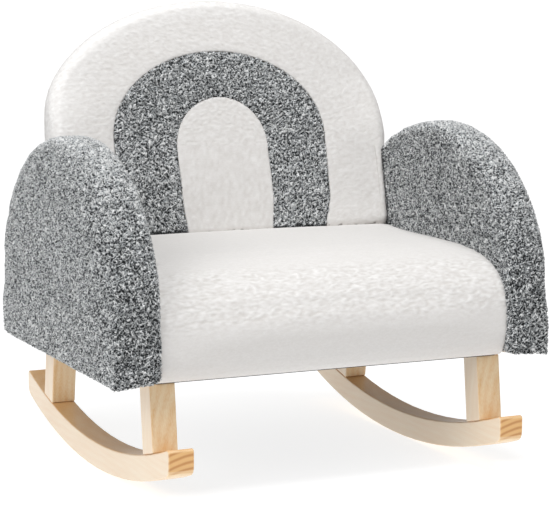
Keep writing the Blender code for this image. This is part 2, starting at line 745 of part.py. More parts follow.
def arm_outline(inset, drop):
    """Side view of an arm drawn in by inset, with its bottom edge raised by drop."""
    half = ARM_LENGTH / 2 - SKIN - inset
    middle = ARM_FRONT + ARM_LENGTH / 2
    bottom = PAD_BOTTOM + drop
    spring = UNDERSIDE_HEIGHT + ARM_WALL_HEIGHT
    rise = ARM_ARCH_HEIGHT - SKIN - inset
    front_corner = max(ARM_FRONT_CORNER - inset * ARM_CORNER_SHARE, ARM_LEAST_CORNER)
    rear_corner = max(ARM_REAR_CORNER - inset * ARM_CORNER_SHARE, ARM_LEAST_CORNER)
    points = []
    for turn in spread(0, math.pi / 2, 4):
        points.append(
            (
                middle - half + front_corner * (1 - math.sin(turn)),
                bottom + front_corner * (1 - math.cos(turn)),
            )
        )
    points.append((middle - half, (bottom + front_corner + spring) / 2))
    for turn in spread(math.pi, 0, ARC_STEPS + 1):
        across, up = power_arc(turn, ARM_ARCH_POWER)
        points.append((middle + half * across, spring + rise * up))
    points.append((middle + half, (bottom + rear_corner + spring) / 2))
    for turn in spread(0, math.pi / 2, 4):
        points.append(
            (
                middle + half - rear_corner * (1 - math.cos(turn)),
                bottom + rear_corner * (1 - math.sin(turn)),
            )
        )
    return points


def arm_sections(sign):
    """Sections of an arm's padding, from its inner face to the crowned outer face."""
    inner = ARM_INNER_FACE + SKIN
    outer = CHAIR_WIDTH / 2 - SKIN - ARM_CROWN
    turns = spread(0, math.pi / 2, EDGE_STEPS + 1)
    stations = []
    for turn in reversed(turns):
        inset = ARM_EDGE_RADIUS * (1 - math.cos(turn))
        stations.append((inner + ARM_EDGE_RADIUS * (1 - math.sin(turn)), inset))
    for turn in turns:
        inset = ARM_EDGE_RADIUS * (1 - math.cos(turn))
        stations.append((outer - ARM_EDGE_RADIUS * (1 - math.sin(turn)), inset))
    for share in ARM_CROWN_STATIONS:
        inset = ARM_EDGE_RADIUS + share * ARM_CROWN_REACH
        stations.append((outer + ARM_CROWN * (1 - (1 - share) ** 2), inset))
    return [
        [Vector((sign * x, y, z)) for y, z in arm_outline(inset, inset * ARM_DROP_SHARE)]
        for x, inset in stations
    ]


def build_arm(side, foam, plywood, cloth):
    """A board shaped to the arm, the foam wrapped over it and the sewn cover."""
    sign = SIDES[side]
    arm_foam = padding(f"arm_foam_{side}", arm_sections(sign), foam)
    inner = ARM_INNER_FACE + SKIN + ARM_INNER_PAD
    outer = inner + ARM_BOARD_THICKNESS
    outline = arm_outline(ARM_RIM_PAD, 0.0)
    ARM_BOARDS[side] = prism(f"arm_board_{side}", outline, *sorted((sign * inner, sign * outer)), plywood)
    pocket = []
    for x in (inner - FIT_GAP, outer + FIT_GAP):
        grown = arm_outline(ARM_RIM_PAD - FIT_GAP, -ARM_RIM_PAD)
        pocket.append([Vector((sign * x, y, z)) for y, z in grown])
    bm = loft_mesh(pocket)
    bmesh.ops.recalc_face_normals(bm, faces=bm.faces)
    cut(arm_foam, add_cutter(f"arm_board_pocket_{side}", bm))

    bm = loft_mesh(arm_sections(sign))
    face_outwards(bm)
    middle = (inner + outer) / 2
    reach = ARM_BOARD_THICKNESS
    open_faces = [
        face
        for face in bm.faces
        if face.normal.z < -ARM_UNDERSIDE_SLOPE
        and abs(abs(face.calc_center_median().x) - middle) < reach
    ]
    bmesh.ops.delete(bm, geom=open_faces, context="FACES")
    cover = skin(f"arm_cover_{side}", bm, cloth)
    return arm_foam, cover


# Frame bolts


def build_frame_bolt(name, head_face, direction, insert_face, crossed, board, steel):
    """A bolt whose head bears on a rail and whose end turns into an insert in a board."""
    tip = insert_face + direction * (INSERT_LENGTH - BOLT_SHORT_OF_INSERT)
    overrun = direction * BORE_OVERRUN
    bore_radius = BOLT_RADIUS + FIT_GAP
    bore_end = insert_face + direction * FIT_GAP
    bore = cylinder_cutter(f"{name}_hole", bore_radius, head_face - overrun, bore_end)
    for piece in crossed:
        cut(piece, bore)
    length = (tip - head_face).length
    bolt = [
        (0.0, length),
        (BOLT_RADIUS, length),
        (BOLT_RADIUS, -FIT_GAP),
        (BOLT_HEAD_RADIUS, -FIT_GAP),
        (BOLT_HEAD_RADIUS, -BOLT_HEAD_HEIGHT),
        (0.0, -BOLT_HEAD_HEIGHT),
    ]
    turned(f"{name}_bolt", bolt, steel, head_face, direction)
    seat = cylinder_cutter(
        f"{name}_socket",
        INSERT_RADIUS + FIT_GAP,
        insert_face - overrun,
        insert_face + direction * (INSERT_LENGTH + FIT_GAP),
    )
    cut(board, seat)
    insert = [
        (bore_radius, INSERT_LENGTH),
        (INSERT_RADIUS, INSERT_LENGTH),
        (INSERT_RADIUS, 0.0),
        (bore_radius, 0.0),
        (bore_radius, INSERT_LENGTH),
    ]
    turned(f"{name}_insert", insert, steel, insert_face, direction)


def build_frame_bolts(covers, foams, steel):
    """Bolts from the side rails into the arms, and up through the deck into the back's board."""
    height = RAIL_BOTTOM + RAIL_HEIGHT / 2
    setback = RAIL_THICKNESS + CORNER_BLOCK_SIZE + ARM_BOLT_SETBACK
    places = {"front": FRAME_FRONT + setback, "rear": FRAME_REAR - setback}
    lean = math.cos(BACK_RECLINE)
    board_rear = face_y(FOAM_BOTTOM) + BACK_THICKNESS / lean - SKIN - BACK_REAR_PAD
    board_y = board_rear - BACK_BOARD_THICKNESS / lean / 2
    board_y += INSERT_LENGTH * math.tan(BACK_RECLINE) / 2
    for side, sign in SIDES.items():
        direction = Vector((sign, 0, 0))
        head_x = sign * (FRAME_HALF_WIDTH - RAIL_THICKNESS)
        board_x = sign * (ARM_INNER_FACE + SKIN + ARM_INNER_PAD)
        for end, y in places.items():
            crossed = [RAILS[side], covers["seat"], covers[side], foams[side]]
            build_frame_bolt(
                f"arm_{end}_{side}",
                Vector((head_x, y, height)),
                direction,
                Vector((board_x, y, height)),
                crossed,
                ARM_BOARDS[side],
                steel,
            )
        x = sign * BACK_BOLT_SPACING / 2
        build_frame_bolt(
            f"back_{side}",
            Vector((x, board_y, DECK_BOTTOM)),
            Vector((0, 0, 1)),
            Vector((x, board_y, FOAM_BOTTOM)),
            [bpy.data.objects["seat_deck"]],
            bpy.data.objects["back_board"],
            steel,
        )


# The chair

clear_scene()
CHAIR = new_collection("child_rocking_chair")
CUTTERS = new_collection("cutters")
RAILS = {}
ARM_BOARDS = {}


def main():
    runner_wood = finish("lacquered_rubberwood", (0.80, 0.62, 0.40), 0.42)
    frame_wood = finish("sawn_pine", (0.72, 0.56, 0.36), 0.70)
    dowel_wood = finish("beech_dowel", (0.74, 0.55, 0.36), 0.60)
    plywood = finish("birch_plywood", (0.76, 0.62, 0.44), 0.65)
    steel = finish("zinc_plated_steel", (0.62, 0.62, 0.60), 0.38, 1.0)
    foam = finish("polyurethane_foam", (0.88, 0.86, 0.74), 0.95)
    white = finish("white_sherpa", (0.86, 0.85, 0.83), 0.95)
    grey = finish("grey_boucle", (0.24, 0.28, 0.30), 0.95)
    dust_cloth = finish("black_nonwoven", (0.03, 0.03, 0.03), 0.90)

    build_base(frame_wood, plywood, dust_cloth)
    for side in SIDES:
        build_runner(side, runner_wood, dowel_wood, steel)
    covers = {"seat": build_seat(foam, white)}
    build_back(foam, plywood, white, grey)
    foams = {}
    for side in SIDES:
        foams[side], covers[side] = build_arm(side, foam, plywood, grey)
    build_frame_bolts(covers, foams, steel)


main()
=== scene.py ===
"""Child rocking chair: fabric, wood and metal finishes over the fixed frame."""

import math

import bmesh
import bpy
import numpy as np
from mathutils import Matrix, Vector, noise


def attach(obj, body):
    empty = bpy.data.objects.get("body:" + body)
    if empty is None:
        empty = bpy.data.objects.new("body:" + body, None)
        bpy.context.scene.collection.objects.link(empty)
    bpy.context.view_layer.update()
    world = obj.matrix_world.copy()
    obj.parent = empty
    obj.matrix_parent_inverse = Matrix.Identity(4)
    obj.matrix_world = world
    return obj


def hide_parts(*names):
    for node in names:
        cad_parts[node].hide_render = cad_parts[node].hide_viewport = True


bl_info = {
    "name": "Child Rocking Chair",
    "version": (1, 0, 0),
    "blender": (4, 5, 0),
    "location": "View3D > Sidebar > Rocking Chair",
    "description": "Dresses a child rocking chair in looped fabric, lacquered wood and steel",
    "category": "Object",
}

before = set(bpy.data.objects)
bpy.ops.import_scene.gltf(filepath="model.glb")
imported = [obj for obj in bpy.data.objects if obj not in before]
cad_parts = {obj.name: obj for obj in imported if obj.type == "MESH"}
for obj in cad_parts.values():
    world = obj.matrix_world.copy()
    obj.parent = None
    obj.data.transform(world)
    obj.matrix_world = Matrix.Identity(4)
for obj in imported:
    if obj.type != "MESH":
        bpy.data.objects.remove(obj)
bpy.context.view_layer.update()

# The camera's place, found from the vanishing lines and sizes in the picture
CAMERA_AZIMUTH = math.radians(-24.20)
CAMERA_ELEVATION = math.radians(7.61)
CAMERA_DISTANCE = 2.435
CAMERA_TARGET = Vector((0.0, -0.0283, 0.25))
CAMERA_LENS = 129.24
CAMERA_SHIFT = (0.00774, -0.0022)

# Sizes in metres, and shares, that the frame already has
SEAT_TOP = 0.2635
HEM = 0.1370
ARM_INNER_FACE = 0.2195
ARM_MIDDLE = -0.0190
BACK_FACE = 0.0945
BACK_RECLINE = math.radians(13.0)
BACK_THICKNESS = 0.0390
BACK_HALF_WIDTH = 0.2370
BACK_SPRING = 0.1330
BACK_HEIGHT = 0.3030
BACK_CROWN = 0.0030
BACK_CROWN_RISE = 0.0900
BACK_PINCH = 0.4
BACK_BULGE_REACH = 1.2
BACK_RIM = 0.0240
BASE_REAR = 0.1800
REAR_FLARE = (0.2000, 0.3600)
RUNNER_MIDDLE = 0.2101

# Each pair of legs along a runner: its place and its lean in degrees
LEG_STANDS = (("front", -0.192, 6.5), ("rear", 0.171, -9.0))

# Where the log's heart lay from a runner's middle (across, height) and from a leg's foot
RUNNER_HEART = (0.020, -0.035)
LEG_HEART = (0.030, -0.030, 0.030)

# The back's two sewn arches: half width, height of the spring and height of the top
ARCH_SEAM = (0.1472, 0.1240, 0.2365)
CENTRE_SEAM = (0.0635, 0.1120, 0.1770)

# The stuffed back, shaped more finely than its solids; a pair is where a change starts and ends
BACK_FRONT_RADIUS = 0.0135
BACK_REAR_RADIUS = 0.0215
BACK_SWELL = (0.0780, 0.1280)
BACK_PRESS = 0.0040
BACK_SHOULDER_HEIGHT = 0.140
BACK_SHOULDER_SPREAD = 0.035
BACK_SHOULDER_SLIM = 0.0180
BACK_SIDE_BULGE = 0.0125
BACK_BULGE = (-0.0100, 0.0140)
BACK_BULGE_FADE = (0.1250, 0.2100)
BACK_TUCK = 0.06
BACK_TUCK_HEIGHT = 0.0450
BACK_BOTTOM = 0.1930
REAR_BOTTOM = 0.1385
SEAM_SHIFT = 0.0022
SEAM_SHIFT_RISE = (0.04, 0.11)
SEAM_GAP = 0.0002
SEAM_DIP = 0.0012
SEAM_DIP_WIDTH = 0.0035
COVER_THICKNESS = 0.0018

# How finely the back's panels are laid out: the step between rows and the points in a row
BAND_GRID = (0.0020, 401)
ARCH_GRID = (0.00125, 561)
REAR_GRID = (0.0025, 301)
CENTRE_STEP = 0.0020
CENTRE_OUTLINE = 0.36
CENTRE_LEAST_EDGE = 0.06
REAR_WIDTH = 0.42
BAND_WALL = 0.006
BAND_WALL_START = 0.04
UPRIGHT_SHARE = 0.42

# The stuffed arms: edges drawn tighter, the arch filled out, the foot slimmer
ARM_QUAD = 0.0040
ARM_SLACK = (0.0015, 0.0030)
ARM_PRESSED_HEIGHT = SEAT_TOP + 0.01
ARM_PRESSED_REAR = 0.07
ARM_INNER_HOLD = 0.6
ARM_EDGE = 0.0150
ARM_TIGHT_EDGE = 0.0050
ARM_TIGHT_FADE = (0.1650, 0.2350)
ARM_UPRIGHT_REACH = ARM_EDGE * 1.9
ARM_BOTTOM_REACH = ARM_EDGE * 2.5
ARM_BOTTOM_LIFT = 0.0020
ARM_BOTTOM_FADE = 0.04
ARM_TIP_DROP = 0.0040
ARM_TIP_REACH = 0.0090
ARM_ARCH = (0.15, 0.25)
ARM_CREST = (0.29, 0.40)
# the crest on the left (-1) stands a little lower than on the right (1)
ARM_CREST_LIFT = {-1: -0.0005, 1: 0.0045}
ARM_REAR_FILL = 0.0060
ARM_REAR_RUN = 0.11
ARM_FRONT_FILL = 0.0040
ARM_FRONT_RUN = 0.13
ARM_SIDE_FILL = 0.0015
ARM_SIDE_END = 0.27
ARM_FOOT_SLIM = 0.0025
ARM_PRESS = 0.0022

# The stuffed seat: its sides flat against the arms, its cover above the dust cover
SEAT_QUAD = 0.0035
SEAT_SLACK = (0.0010, 0.0025)
SEAT_HELD = 0.05
SEAT_HALF_WIDTH = 0.2222
SEAT_EDGE = 0.0070
SEAT_TIGHT_EDGE = 0.0015
SEAT_EDGE_REACH = SEAT_EDGE * 3
UNDERSIDE_HALF_WIDTH = 0.212
UNDERSIDE_FRONT = -0.2
UNDERSIDE_TOP = 0.142
UNDERSIDE_LEVEL = 0.1392

# How far a normal leans to one side before its face counts as facing there
FACING = (0.3, 0.7)
FACING_DOWN = (0.2, 0.6)
FACING_REAR = (0.3, 0.6)

# The cover filled by cloth simulation
CLOTH_PRESSURE = 4.0
CLOTH_QUALITY = 5
CLOTH_STEPS = 20

# The pile's curls: stretch across, how often a curl bends and how far
LOOP_CURLS = (1.0, 0.45, 0.8)
TUFT_CURLS = (0.6, 0.5, 0.6)
RIPPLE_CURLS = (0.42, 0.5, 0.7)
LOOP_STEEPNESS = 3.0
RIPPLE_STRENGTH = 0.8
RIPPLE_REST = 0.12
RIPPLE_LOW = (0.182, 0.212)
RIPPLE_HIGH = (0.250, 0.262)
RIPPLE_REAR = (-0.19, -0.14)
RIPPLE_SIZE = 0.85
RIPPLE_DEPTH = 1.3

# Where shade is painted into the pile's colour, where light is painted in as paler loops and tufts, and
# how much paler the arch's loops are
# painted shade on the back's panels just above the seat: the heights over which it fades, and how deep on
# the white
CREASE_SHADE_HEIGHTS = (0.0038, 0.0068)
CREASE_SHADE = 0.6
# painted shade on an arm's inner face beside and behind the back: where it starts, how wide, and where it
# fades at the top
ARM_SHADE_START = 0.0050
ARM_SHADE_WIDTH = 0.0080
ARM_SHADE_TOP = (0.365, 0.385)
# painted light from above: how much paler the loops are drawn on upward faces, and the normal's lean
# where that starts
TOP_PAINTED_LIGHT = 0.22
TOP_PAINTED_LIGHT_TURN = -0.15
ARCH_LOOPS = 0.14
# painted light on the back's left and top rim: how much paler, how wide, and where it fades
RIM_PAINTED_LIGHT = 0.34
RIM_PAINTED_LIGHT_WIDTH = 0.05
RIM_PAINTED_LIGHT_SIDE = (-0.02, 0.15)
RIM_PAINTED_LIGHT_RISE = (0.07, 0.15)

# The studio
WHITE = (1.0, 1.0, 1.0, 1.0)
FLOOR_ALBEDO = 0.35
BACKDROP_GLOW = 1.1


def linear(hex_colour):
    """The linear colour of an sRGB hex code such as "#E4D2B8"."""
    channels = [int(hex_colour[place:place + 2], 16) / 255 for place in (1, 3, 5)]
    return tuple(
        value / 12.92 if value <= 0.04045 else ((value + 0.055) / 1.055) ** 2.4
        for value in channels
    )


def colour_setting(name, description, hex_colour):
    """A colour that a user can change, given as an sRGB hex code."""
    return bpy.props.FloatVectorProperty(
        name=name,
        description=description,
        subtype="COLOR",
        min=0.0,
        max=1.0,
        default=linear(hex_colour),
    )


class RockerSettings(bpy.types.PropertyGroup):
    """The sizes and colours that the operators read."""

    # painted highlight: the near-white tips of the grey loops
    grey_loop_highlight: colour_setting(
        "Grey Loops", "Colour of the tips of the grey bouclé's loops", "#F4F5F5"
    )
    grey_yarn: colour_setting("Grey Yarn", "Main colour of the grey bouclé", "#B4B9BC")
    # painted shade: the dark between the grey loops
    grey_gap_shade: colour_setting("Grey Gaps", "Colour between the grey bouclé's loops", "#212426")
    # the brightest tuft tips, and the painted light on the back band's left and top rim
    white_tip_and_rim_light: colour_setting(
        "White Tips", "Colour of the white sherpa where its tufts stand open on a rim", "#FDFCFB"
    )
    white_pile: colour_setting(
        "White Pile", "Colour of the tips of the white sherpa's pile", "#E6E4E2"
    )
    # painted shade: the darker colour between the white tufts
    white_gap_shade: colour_setting(
        "White Gaps", "Colour between the tufts of the white sherpa", "#D2CECA"
    )
    # painted shade: the dark colour drawn into a seam or crease of the white sherpa
    white_seam_shade: colour_setting(
        "White Seam", "Colour deep in a seam or crease of the white sherpa", "#8C8884"
    )
    wood_light: colour_setting(
        "Light Wood", "Colour of the wood between its growth rings", "#F3DEBC"
    )
    wood_dark: colour_setting("Dark Wood", "Colour of the wood's growth rings", "#E2B375")
    # painted light: the wood's sideways faces drawn paler, as lit
    wood_side_painted_light: colour_setting(
        "Wood Sides", "Colour of the pale quarter-sawn sides", "#EEDFCC"
    )
    # painted shade: the wood's upward faces drawn a warmer amber, as in warm shade
    wood_top_painted_shade: colour_setting("Wood Tops", "Colour of the warmer flat-sawn tops", "#E6AA62")
    wood_end: colour_setting(
        "End Grain", "Colour of the wood where it is cut across the grain", "#E6B677"
    )
    wood_arc: colour_setting(
        "End Grain Rings", "Colour of the growth rings where they are cut across", "#C78C4E"
    )
    loop_size: bpy.props.FloatProperty(
        name="Loop Size",
        description="Width of one loop of the grey bouclé",
        default=0.0030,
        min=0.001,
        unit="LENGTH",
    )
    loop_height: bpy.props.FloatProperty(
        name="Loop Height",
        description="Height of a grey loop over the gap beside it",
        default=0.0032,
        min=0.0,
        unit="LENGTH",
    )
    tuft_size: bpy.props.FloatProperty(
        name="Tuft Size",
        description="Width of one tuft of the white sherpa",
        default=0.0032,
        min=0.001,
        unit="LENGTH",
    )
    tuft_height: bpy.props.FloatProperty(
        name="Tuft Height",
        description="Height of a white tuft over the gap beside it",
        default=0.0006,
        min=0.0,
        unit="LENGTH",
    )
    floor_size: bpy.props.FloatProperty(
        name="Floor Size",
        description="Width of the round floor",
        default=2.2,
        min=1.0,
        unit="LENGTH",
    )
    floor_glow: bpy.props.FloatProperty(
        name="Floor Glow",
        description="Brightness of the light under the white floor",
        default=0.80,
        min=0.0,
    )
    room_light: bpy.props.FloatProperty(
        name="Room Light",
        description="Brightness of the even light from all round",
        default=0.40,
        min=0.0,
    )
    key_power: bpy.props.FloatProperty(
        name="Key Light",
        description="Power of the large soft light above and to the left",
        default=33.0,
        min=0.0,
        unit="POWER",
    )
    top_power: bpy.props.FloatProperty(
        name="Top Light",
        description="Power of the soft light overhead",
        default=45.0,
        min=0.0,
        unit="POWER",
    )


# Materials


def add_node(tree, kind, settings=(), inputs=()):
    """A shader node with its settings made and its inputs set, or linked to other outputs."""
    node = tree.nodes.new(kind)
    for name, value in dict(settings).items():
        setattr(node, name, value)
    for name, value in dict(inputs).items():
        if isinstance(value, bpy.types.NodeSocket):
            tree.links.new(value, node.inputs[name])
        else:
            node.inputs[name].default_value = value
    return node


def set_ramp(node, *stops):
    """Give a colour ramp its (position, colour) stops."""
    elements = node.color_ramp.elements
    while len(elements) < len(stops):
        elements.new(0.5)
    for element, (position, colour) in zip(elements, stops):
        element.position = position
        element.color = (*colour, 1.0)
    return node.outputs["Color"]


def new_material(name, **shader_inputs):
    """A material with a Principled shader, and its tree, shader and object coordinates."""
    material = bpy.data.materials.new(name)
    material.use_nodes = True
    tree = material.node_tree
    shader = tree.nodes["Principled BSDF"]
    for socket, value in shader_inputs.items():
        shader.inputs[socket.replace("_", " ").title().replace("Ior", "IOR")].default_value = value
    place = add_node(tree, "ShaderNodeTexCoord").outputs["Object"]
    return material, tree, shader, place


def paint(tree, shader, colour, height, strength, distance):
    """Link a colour and a bump height to the shader."""
    bump = add_node(
        tree,
        "ShaderNodeBump",
        inputs={"Strength": strength, "Distance": distance, "Height": height},
    )
    tree.links.new(bump.outputs["Normal"], shader.inputs["Normal"])
    tree.links.new(colour, shader.inputs["Base Color"])


def boucle(settings):
    """Polyester bouclé, knitted with curled loops: dark gaps painted as the shade between loops, mid
    yarn, and pale loop tips painted as highlights.
    """
    material, tree, shader, place = new_material(
        "grey_boucle", roughness=0.95, sheen_weight=0.35, sheen_roughness=0.5
    )
    pile = add_node(tree, "ShaderNodeAttribute", {"attribute_name": "pile"})
    # the yarn is about 1 mm thick and winds in curls 4 mm across
    winding = add_node(
        tree,
        "ShaderNodeTexNoise",
        inputs={"Vector": place, "Scale": 250.0, "Detail": 1.0, "Roughness": 0.5, "Distortion": 0.8},
    )
    off_middle = add_node(
        tree, "ShaderNodeMath", {"operation": "SUBTRACT"}, {0: winding.outputs["Fac"], 1: 0.5}
    )
    side = add_node(tree, "ShaderNodeMath", {"operation": "ABSOLUTE"}, {0: off_middle.outputs["Value"]})
    curl = add_node(
        tree,
        "ShaderNodeMapRange",
        inputs={
            "Value": side.outputs["Value"],
            "From Min": 0.0,
            "From Max": 0.11,
            "To Min": 1.0,
            "To Max": 0.0,
        },
    )
    # single fibres are 0.02 mm wide and are drawn at 1.6 mm, the finest that shows
    fibre = add_node(
        tree, "ShaderNodeTexNoise", inputs={"Vector": place, "Scale": 620.0, "Detail": 0.0}
    )
    fuzzy = add_node(
        tree,
        "ShaderNodeMath",
        {"operation": "MULTIPLY_ADD"},
        {0: fibre.outputs["Fac"], 1: 0.9, 2: curl.outputs["Result"]},
    )
    height = add_node(
        tree,
        "ShaderNodeMath",
        {"operation": "MULTIPLY_ADD"},
        {0: pile.outputs["Fac"], 1: 0.9, 2: fuzzy.outputs["Value"]},
    )
    share = add_node(
        tree,
        "ShaderNodeMapRange",
        inputs={"Value": height.outputs["Value"], "From Min": 0.78, "From Max": 1.92},
    )
    ramp = add_node(tree, "ShaderNodeValToRGB", inputs={"Fac": share.outputs["Result"]})
    colour = set_ramp(
        ramp,
        (0.12, settings.grey_gap_shade),
        (0.50, settings.grey_yarn),
        (0.85, settings.grey_loop_highlight),
    )
    paint(tree, shader, colour, height.outputs["Value"], 0.9, 0.001)
    return material


def sherpa(settings, name, nap):
    """Polyester sherpa fleece with short matted tufts: a soft, nearly even off-white, with painted shade
    between the tufts and deep in seams, and painted light on the pale tips.

    nap is how strongly the tufts stand out: the back's are brushed up, the seat's pressed flat.
    """
    material, tree, shader, place = new_material(
        name, roughness=0.95, sheen_weight=0.2, sheen_roughness=0.5
    )
    pile = add_node(tree, "ShaderNodeAttribute", {"attribute_name": "pile"})
    # the tufts lie over sideways: matted strands about 2 mm apart and 4 mm long
    combed = add_node(
        tree, "ShaderNodeMapping", inputs={"Vector": place, "Scale": (270.0, 400.0, 500.0)}
    )
    fibre = add_node(
        tree,
        "ShaderNodeTexNoise",
        inputs={"Vector": combed.outputs["Vector"], "Scale": 1.0, "Detail": 2.0, "Distortion": 0.5},
    )
    mixed = add_node(
        tree,
        "ShaderNodeMath",
        {"operation": "MULTIPLY_ADD"},
        {0: fibre.outputs["Fac"], 1: 0.6, 2: pile.outputs["Fac"]},
    )
    share = add_node(
        tree, "ShaderNodeMapRange", inputs={"Value": mixed.outputs["Value"], "From Max": 2.0}
    )
    ramp = add_node(tree, "ShaderNodeValToRGB", inputs={"Fac": share.outputs["Result"]})
    colour = set_ramp(
        ramp,
        (0.0, settings.white_seam_shade),
        (0.06, settings.white_gap_shade),
        (0.5, settings.white_pile),
        (0.9, settings.white_tip_and_rim_light),
    )
    paint(tree, shader, colour, mixed.outputs["Value"], nap, 0.0008)
    return material


def rubberwood(name, settings, heart, lean):
    """Clear-lacquered rubberwood, planed and sanded: pale, with tan growth rings and pores.

    heart is a point on the log's axis and lean the axis's turn about X from upright.
    """
    material, tree, shader, place = new_material(
        name, roughness=0.36, ior=1.5, coat_weight=0.3, coat_roughness=0.2
    )
    board = add_node(
        tree,
        "ShaderNodeMapping",
        {"vector_type": "TEXTURE"},
        {"Vector": place, "Location": heart, "Rotation": (lean, 0.0, 0.0)},
    ).outputs["Vector"]
    # growth rings about 7 mm apart, blurred and uneven as in tropical wood
    rings = add_node(
        tree,
        "ShaderNodeTexWave",
        {"wave_type": "RINGS", "rings_direction": "Z"},
        {"Vector": board, "Scale": 42.0, "Distortion": 7.0, "Detail": 3.0, "Detail Scale": 0.22},
    )
    # pores 0.2 mm wide, drawn about 0.9 mm wide and 28 mm long so that they show
    streaks = add_node(
        tree,
        "ShaderNodeMapping",
        inputs={"Vector": board, "Scale": (1100.0, 1100.0, 36.0)},
    )
    pores = add_node(
        tree,
        "ShaderNodeTexNoise",
        inputs={"Vector": streaks.outputs["Vector"], "Scale": 1.0, "Detail": 3.0},
    )
    drawn_out = add_node(
        tree, "ShaderNodeMapping", inputs={"Vector": board, "Scale": (60.0, 60.0, 9.0)}
    )
    drift = add_node(
        tree,
        "ShaderNodeTexNoise",
        inputs={"Vector": drawn_out.outputs["Vector"], "Scale": 1.0, "Detail": 2.0},
    )
    grain = add_node(
        tree,
        "ShaderNodeMath",
        {"operation": "MULTIPLY_ADD"},
        {0: rings.outputs["Fac"], 1: 0.22, 2: pores.outputs["Fac"]},
    )
    tone = add_node(
        tree,
        "ShaderNodeMath",
        {"operation": "MULTIPLY_ADD"},
        {0: drift.outputs["Fac"], 1: 1.1, 2: grain.outputs["Value"]},
    )
    share = add_node(
        tree,
        "ShaderNodeMapRange",
        inputs={"Value": tone.outputs["Value"], "From Min": 0.75, "From Max": 1.75},
    )
    ramp = add_node(tree, "ShaderNodeValToRGB", inputs={"Fac": share.outputs["Result"]})
    side_grain = set_ramp(ramp, (0.0, settings.wood_light), (1.0, settings.wood_dark))
    # painted light and shade by facing: faces turned sideways are painted paler, as lit, and upward faces
    # a warmer amber, as painted warm shade
    facing = add_node(tree, "ShaderNodeNewGeometry")
    sides = add_node(tree, "ShaderNodeSeparateXYZ", inputs={"Vector": facing.outputs["Normal"]})
    across = add_node(tree, "ShaderNodeMath", {"operation": "ABSOLUTE"}, {0: sides.outputs["X"]})
    for facing_share, least, most, strength, tone_colour in (
        (across.outputs["Value"], 0.6, 0.95, 0.6, settings.wood_side_painted_light),
        (sides.outputs["Z"], 0.3, 0.85, 0.5, settings.wood_top_painted_shade),
    ):
        toward = add_node(
            tree,
            "ShaderNodeMapRange",
            inputs={"Value": facing_share, "From Min": least, "From Max": most, "To Max": strength},
        )
        tinted = add_node(
            tree,
            "ShaderNodeMix",
            {"data_type": "RGBA"},
            {"Factor": toward.outputs["Result"], 6: side_grain, 7: (*tone_colour, 1.0)},
        )
        side_grain = tinted.outputs[2]
    # cut across the fibres, the wood drinks the lacquer and turns orange
    along = add_node(
        tree,
        "ShaderNodeVectorMath",
        {"operation": "DOT_PRODUCT"},
        {0: facing.outputs["Normal"], 1: (0.0, -math.sin(lean), math.cos(lean))},
    )
    cut = add_node(tree, "ShaderNodeMath", {"operation": "ABSOLUTE"}, {0: along.outputs["Value"]})
    end = add_node(
        tree,
        "ShaderNodeMapRange",
        inputs={"Value": cut.outputs["Value"], "From Min": 0.80, "From Max": 0.97},
    )
    arcs = add_node(tree, "ShaderNodeValToRGB", inputs={"Fac": rings.outputs["Fac"]})
    end_grain = set_ramp(
        arcs,
        (0.0, settings.wood_end),
        (0.35, settings.wood_end),
        (1.0, settings.wood_arc),
    )
    mixed = add_node(
        tree,
        "ShaderNodeMix",
        {"data_type": "RGBA"},
        {"Factor": end.outputs["Result"], 6: side_grain, 7: end_grain},
    )
    paint(tree, shader, mixed.outputs[2], pores.outputs["Fac"], 0.05, 0.0003)
    return material


def plain_grain(name, light, dark, stretch, roughness):
    """Unlacquered wood with straight grain; stretch is the pattern's scale along X, Y and Z."""
    material, tree, shader, place = new_material(name, roughness=roughness, ior=1.5)
    along = add_node(tree, "ShaderNodeMapping", inputs={"Vector": place, "Scale": stretch})
    grain = add_node(
        tree,
        "ShaderNodeTexNoise",
        inputs={"Vector": along.outputs["Vector"], "Scale": 1.0, "Detail": 4.0},
    )
    ramp = add_node(tree, "ShaderNodeValToRGB", inputs={"Fac": grain.outputs["Fac"]})
    colour = set_ramp(ramp, (0.3, linear(light)), (0.7, linear(dark)))
    paint(tree, shader, colour, grain.outputs["Fac"], 0.2, 0.0004)
    return material


def zinc_plate():
    """Zinc-plated steel, drawn and threaded: a bright grey metal with a faint cloudy film."""
    material, tree, shader, place = new_material("zinc_plated_steel", metallic=1.0)
    film = add_node(
        tree, "ShaderNodeTexNoise", inputs={"Vector": place, "Scale": 260.0, "Detail": 3.0}
    )
    ramp = add_node(tree, "ShaderNodeValToRGB", inputs={"Fac": film.outputs["Fac"]})
    colour = set_ramp(ramp, (0.35, linear("#B4B6B8")), (0.65, linear("#D2D3D0")))
    shine = add_node(
        tree,
        "ShaderNodeMapRange",
        inputs={"Value": film.outputs["Fac"], "To Min": 0.28, "To Max": 0.46},
    )
    tree.links.new(shine.outputs["Result"], shader.inputs["Roughness"])
    paint(tree, shader, colour, film.outputs["Fac"], 0.05, 0.0002)
    return material


def nonwoven():
    """Black spun polypropylene, pressed in a grid of small bonded points: dull and papery."""
    material, tree, shader, place = new_material("black_nonwoven", roughness=0.85)
    # the bonded points are about 2 mm apart
    points = add_node(
        tree,
        "ShaderNodeTexVoronoi",
        {"feature": "F1"},
        {"Vector": place, "Scale": 500.0, "Randomness": 0.2},
    )
    ramp = add_node(tree, "ShaderNodeValToRGB", inputs={"Fac": points.outputs["Distance"]})
    colour = set_ramp(ramp, (0.1, linear("#1C1C1E")), (0.6, linear("#2E2E31")))
    paint(tree, shader, colour, points.outputs["Distance"], 0.3, 0.0003)
    return material


# Padded pieces


def eased_step(low, high, values):
    """0 below low, 1 above high, and a smooth rise between, for an array."""
    share = np.clip((values - low) / (high - low), 0.0, 1.0)
    return share * share * (3 - 2 * share)


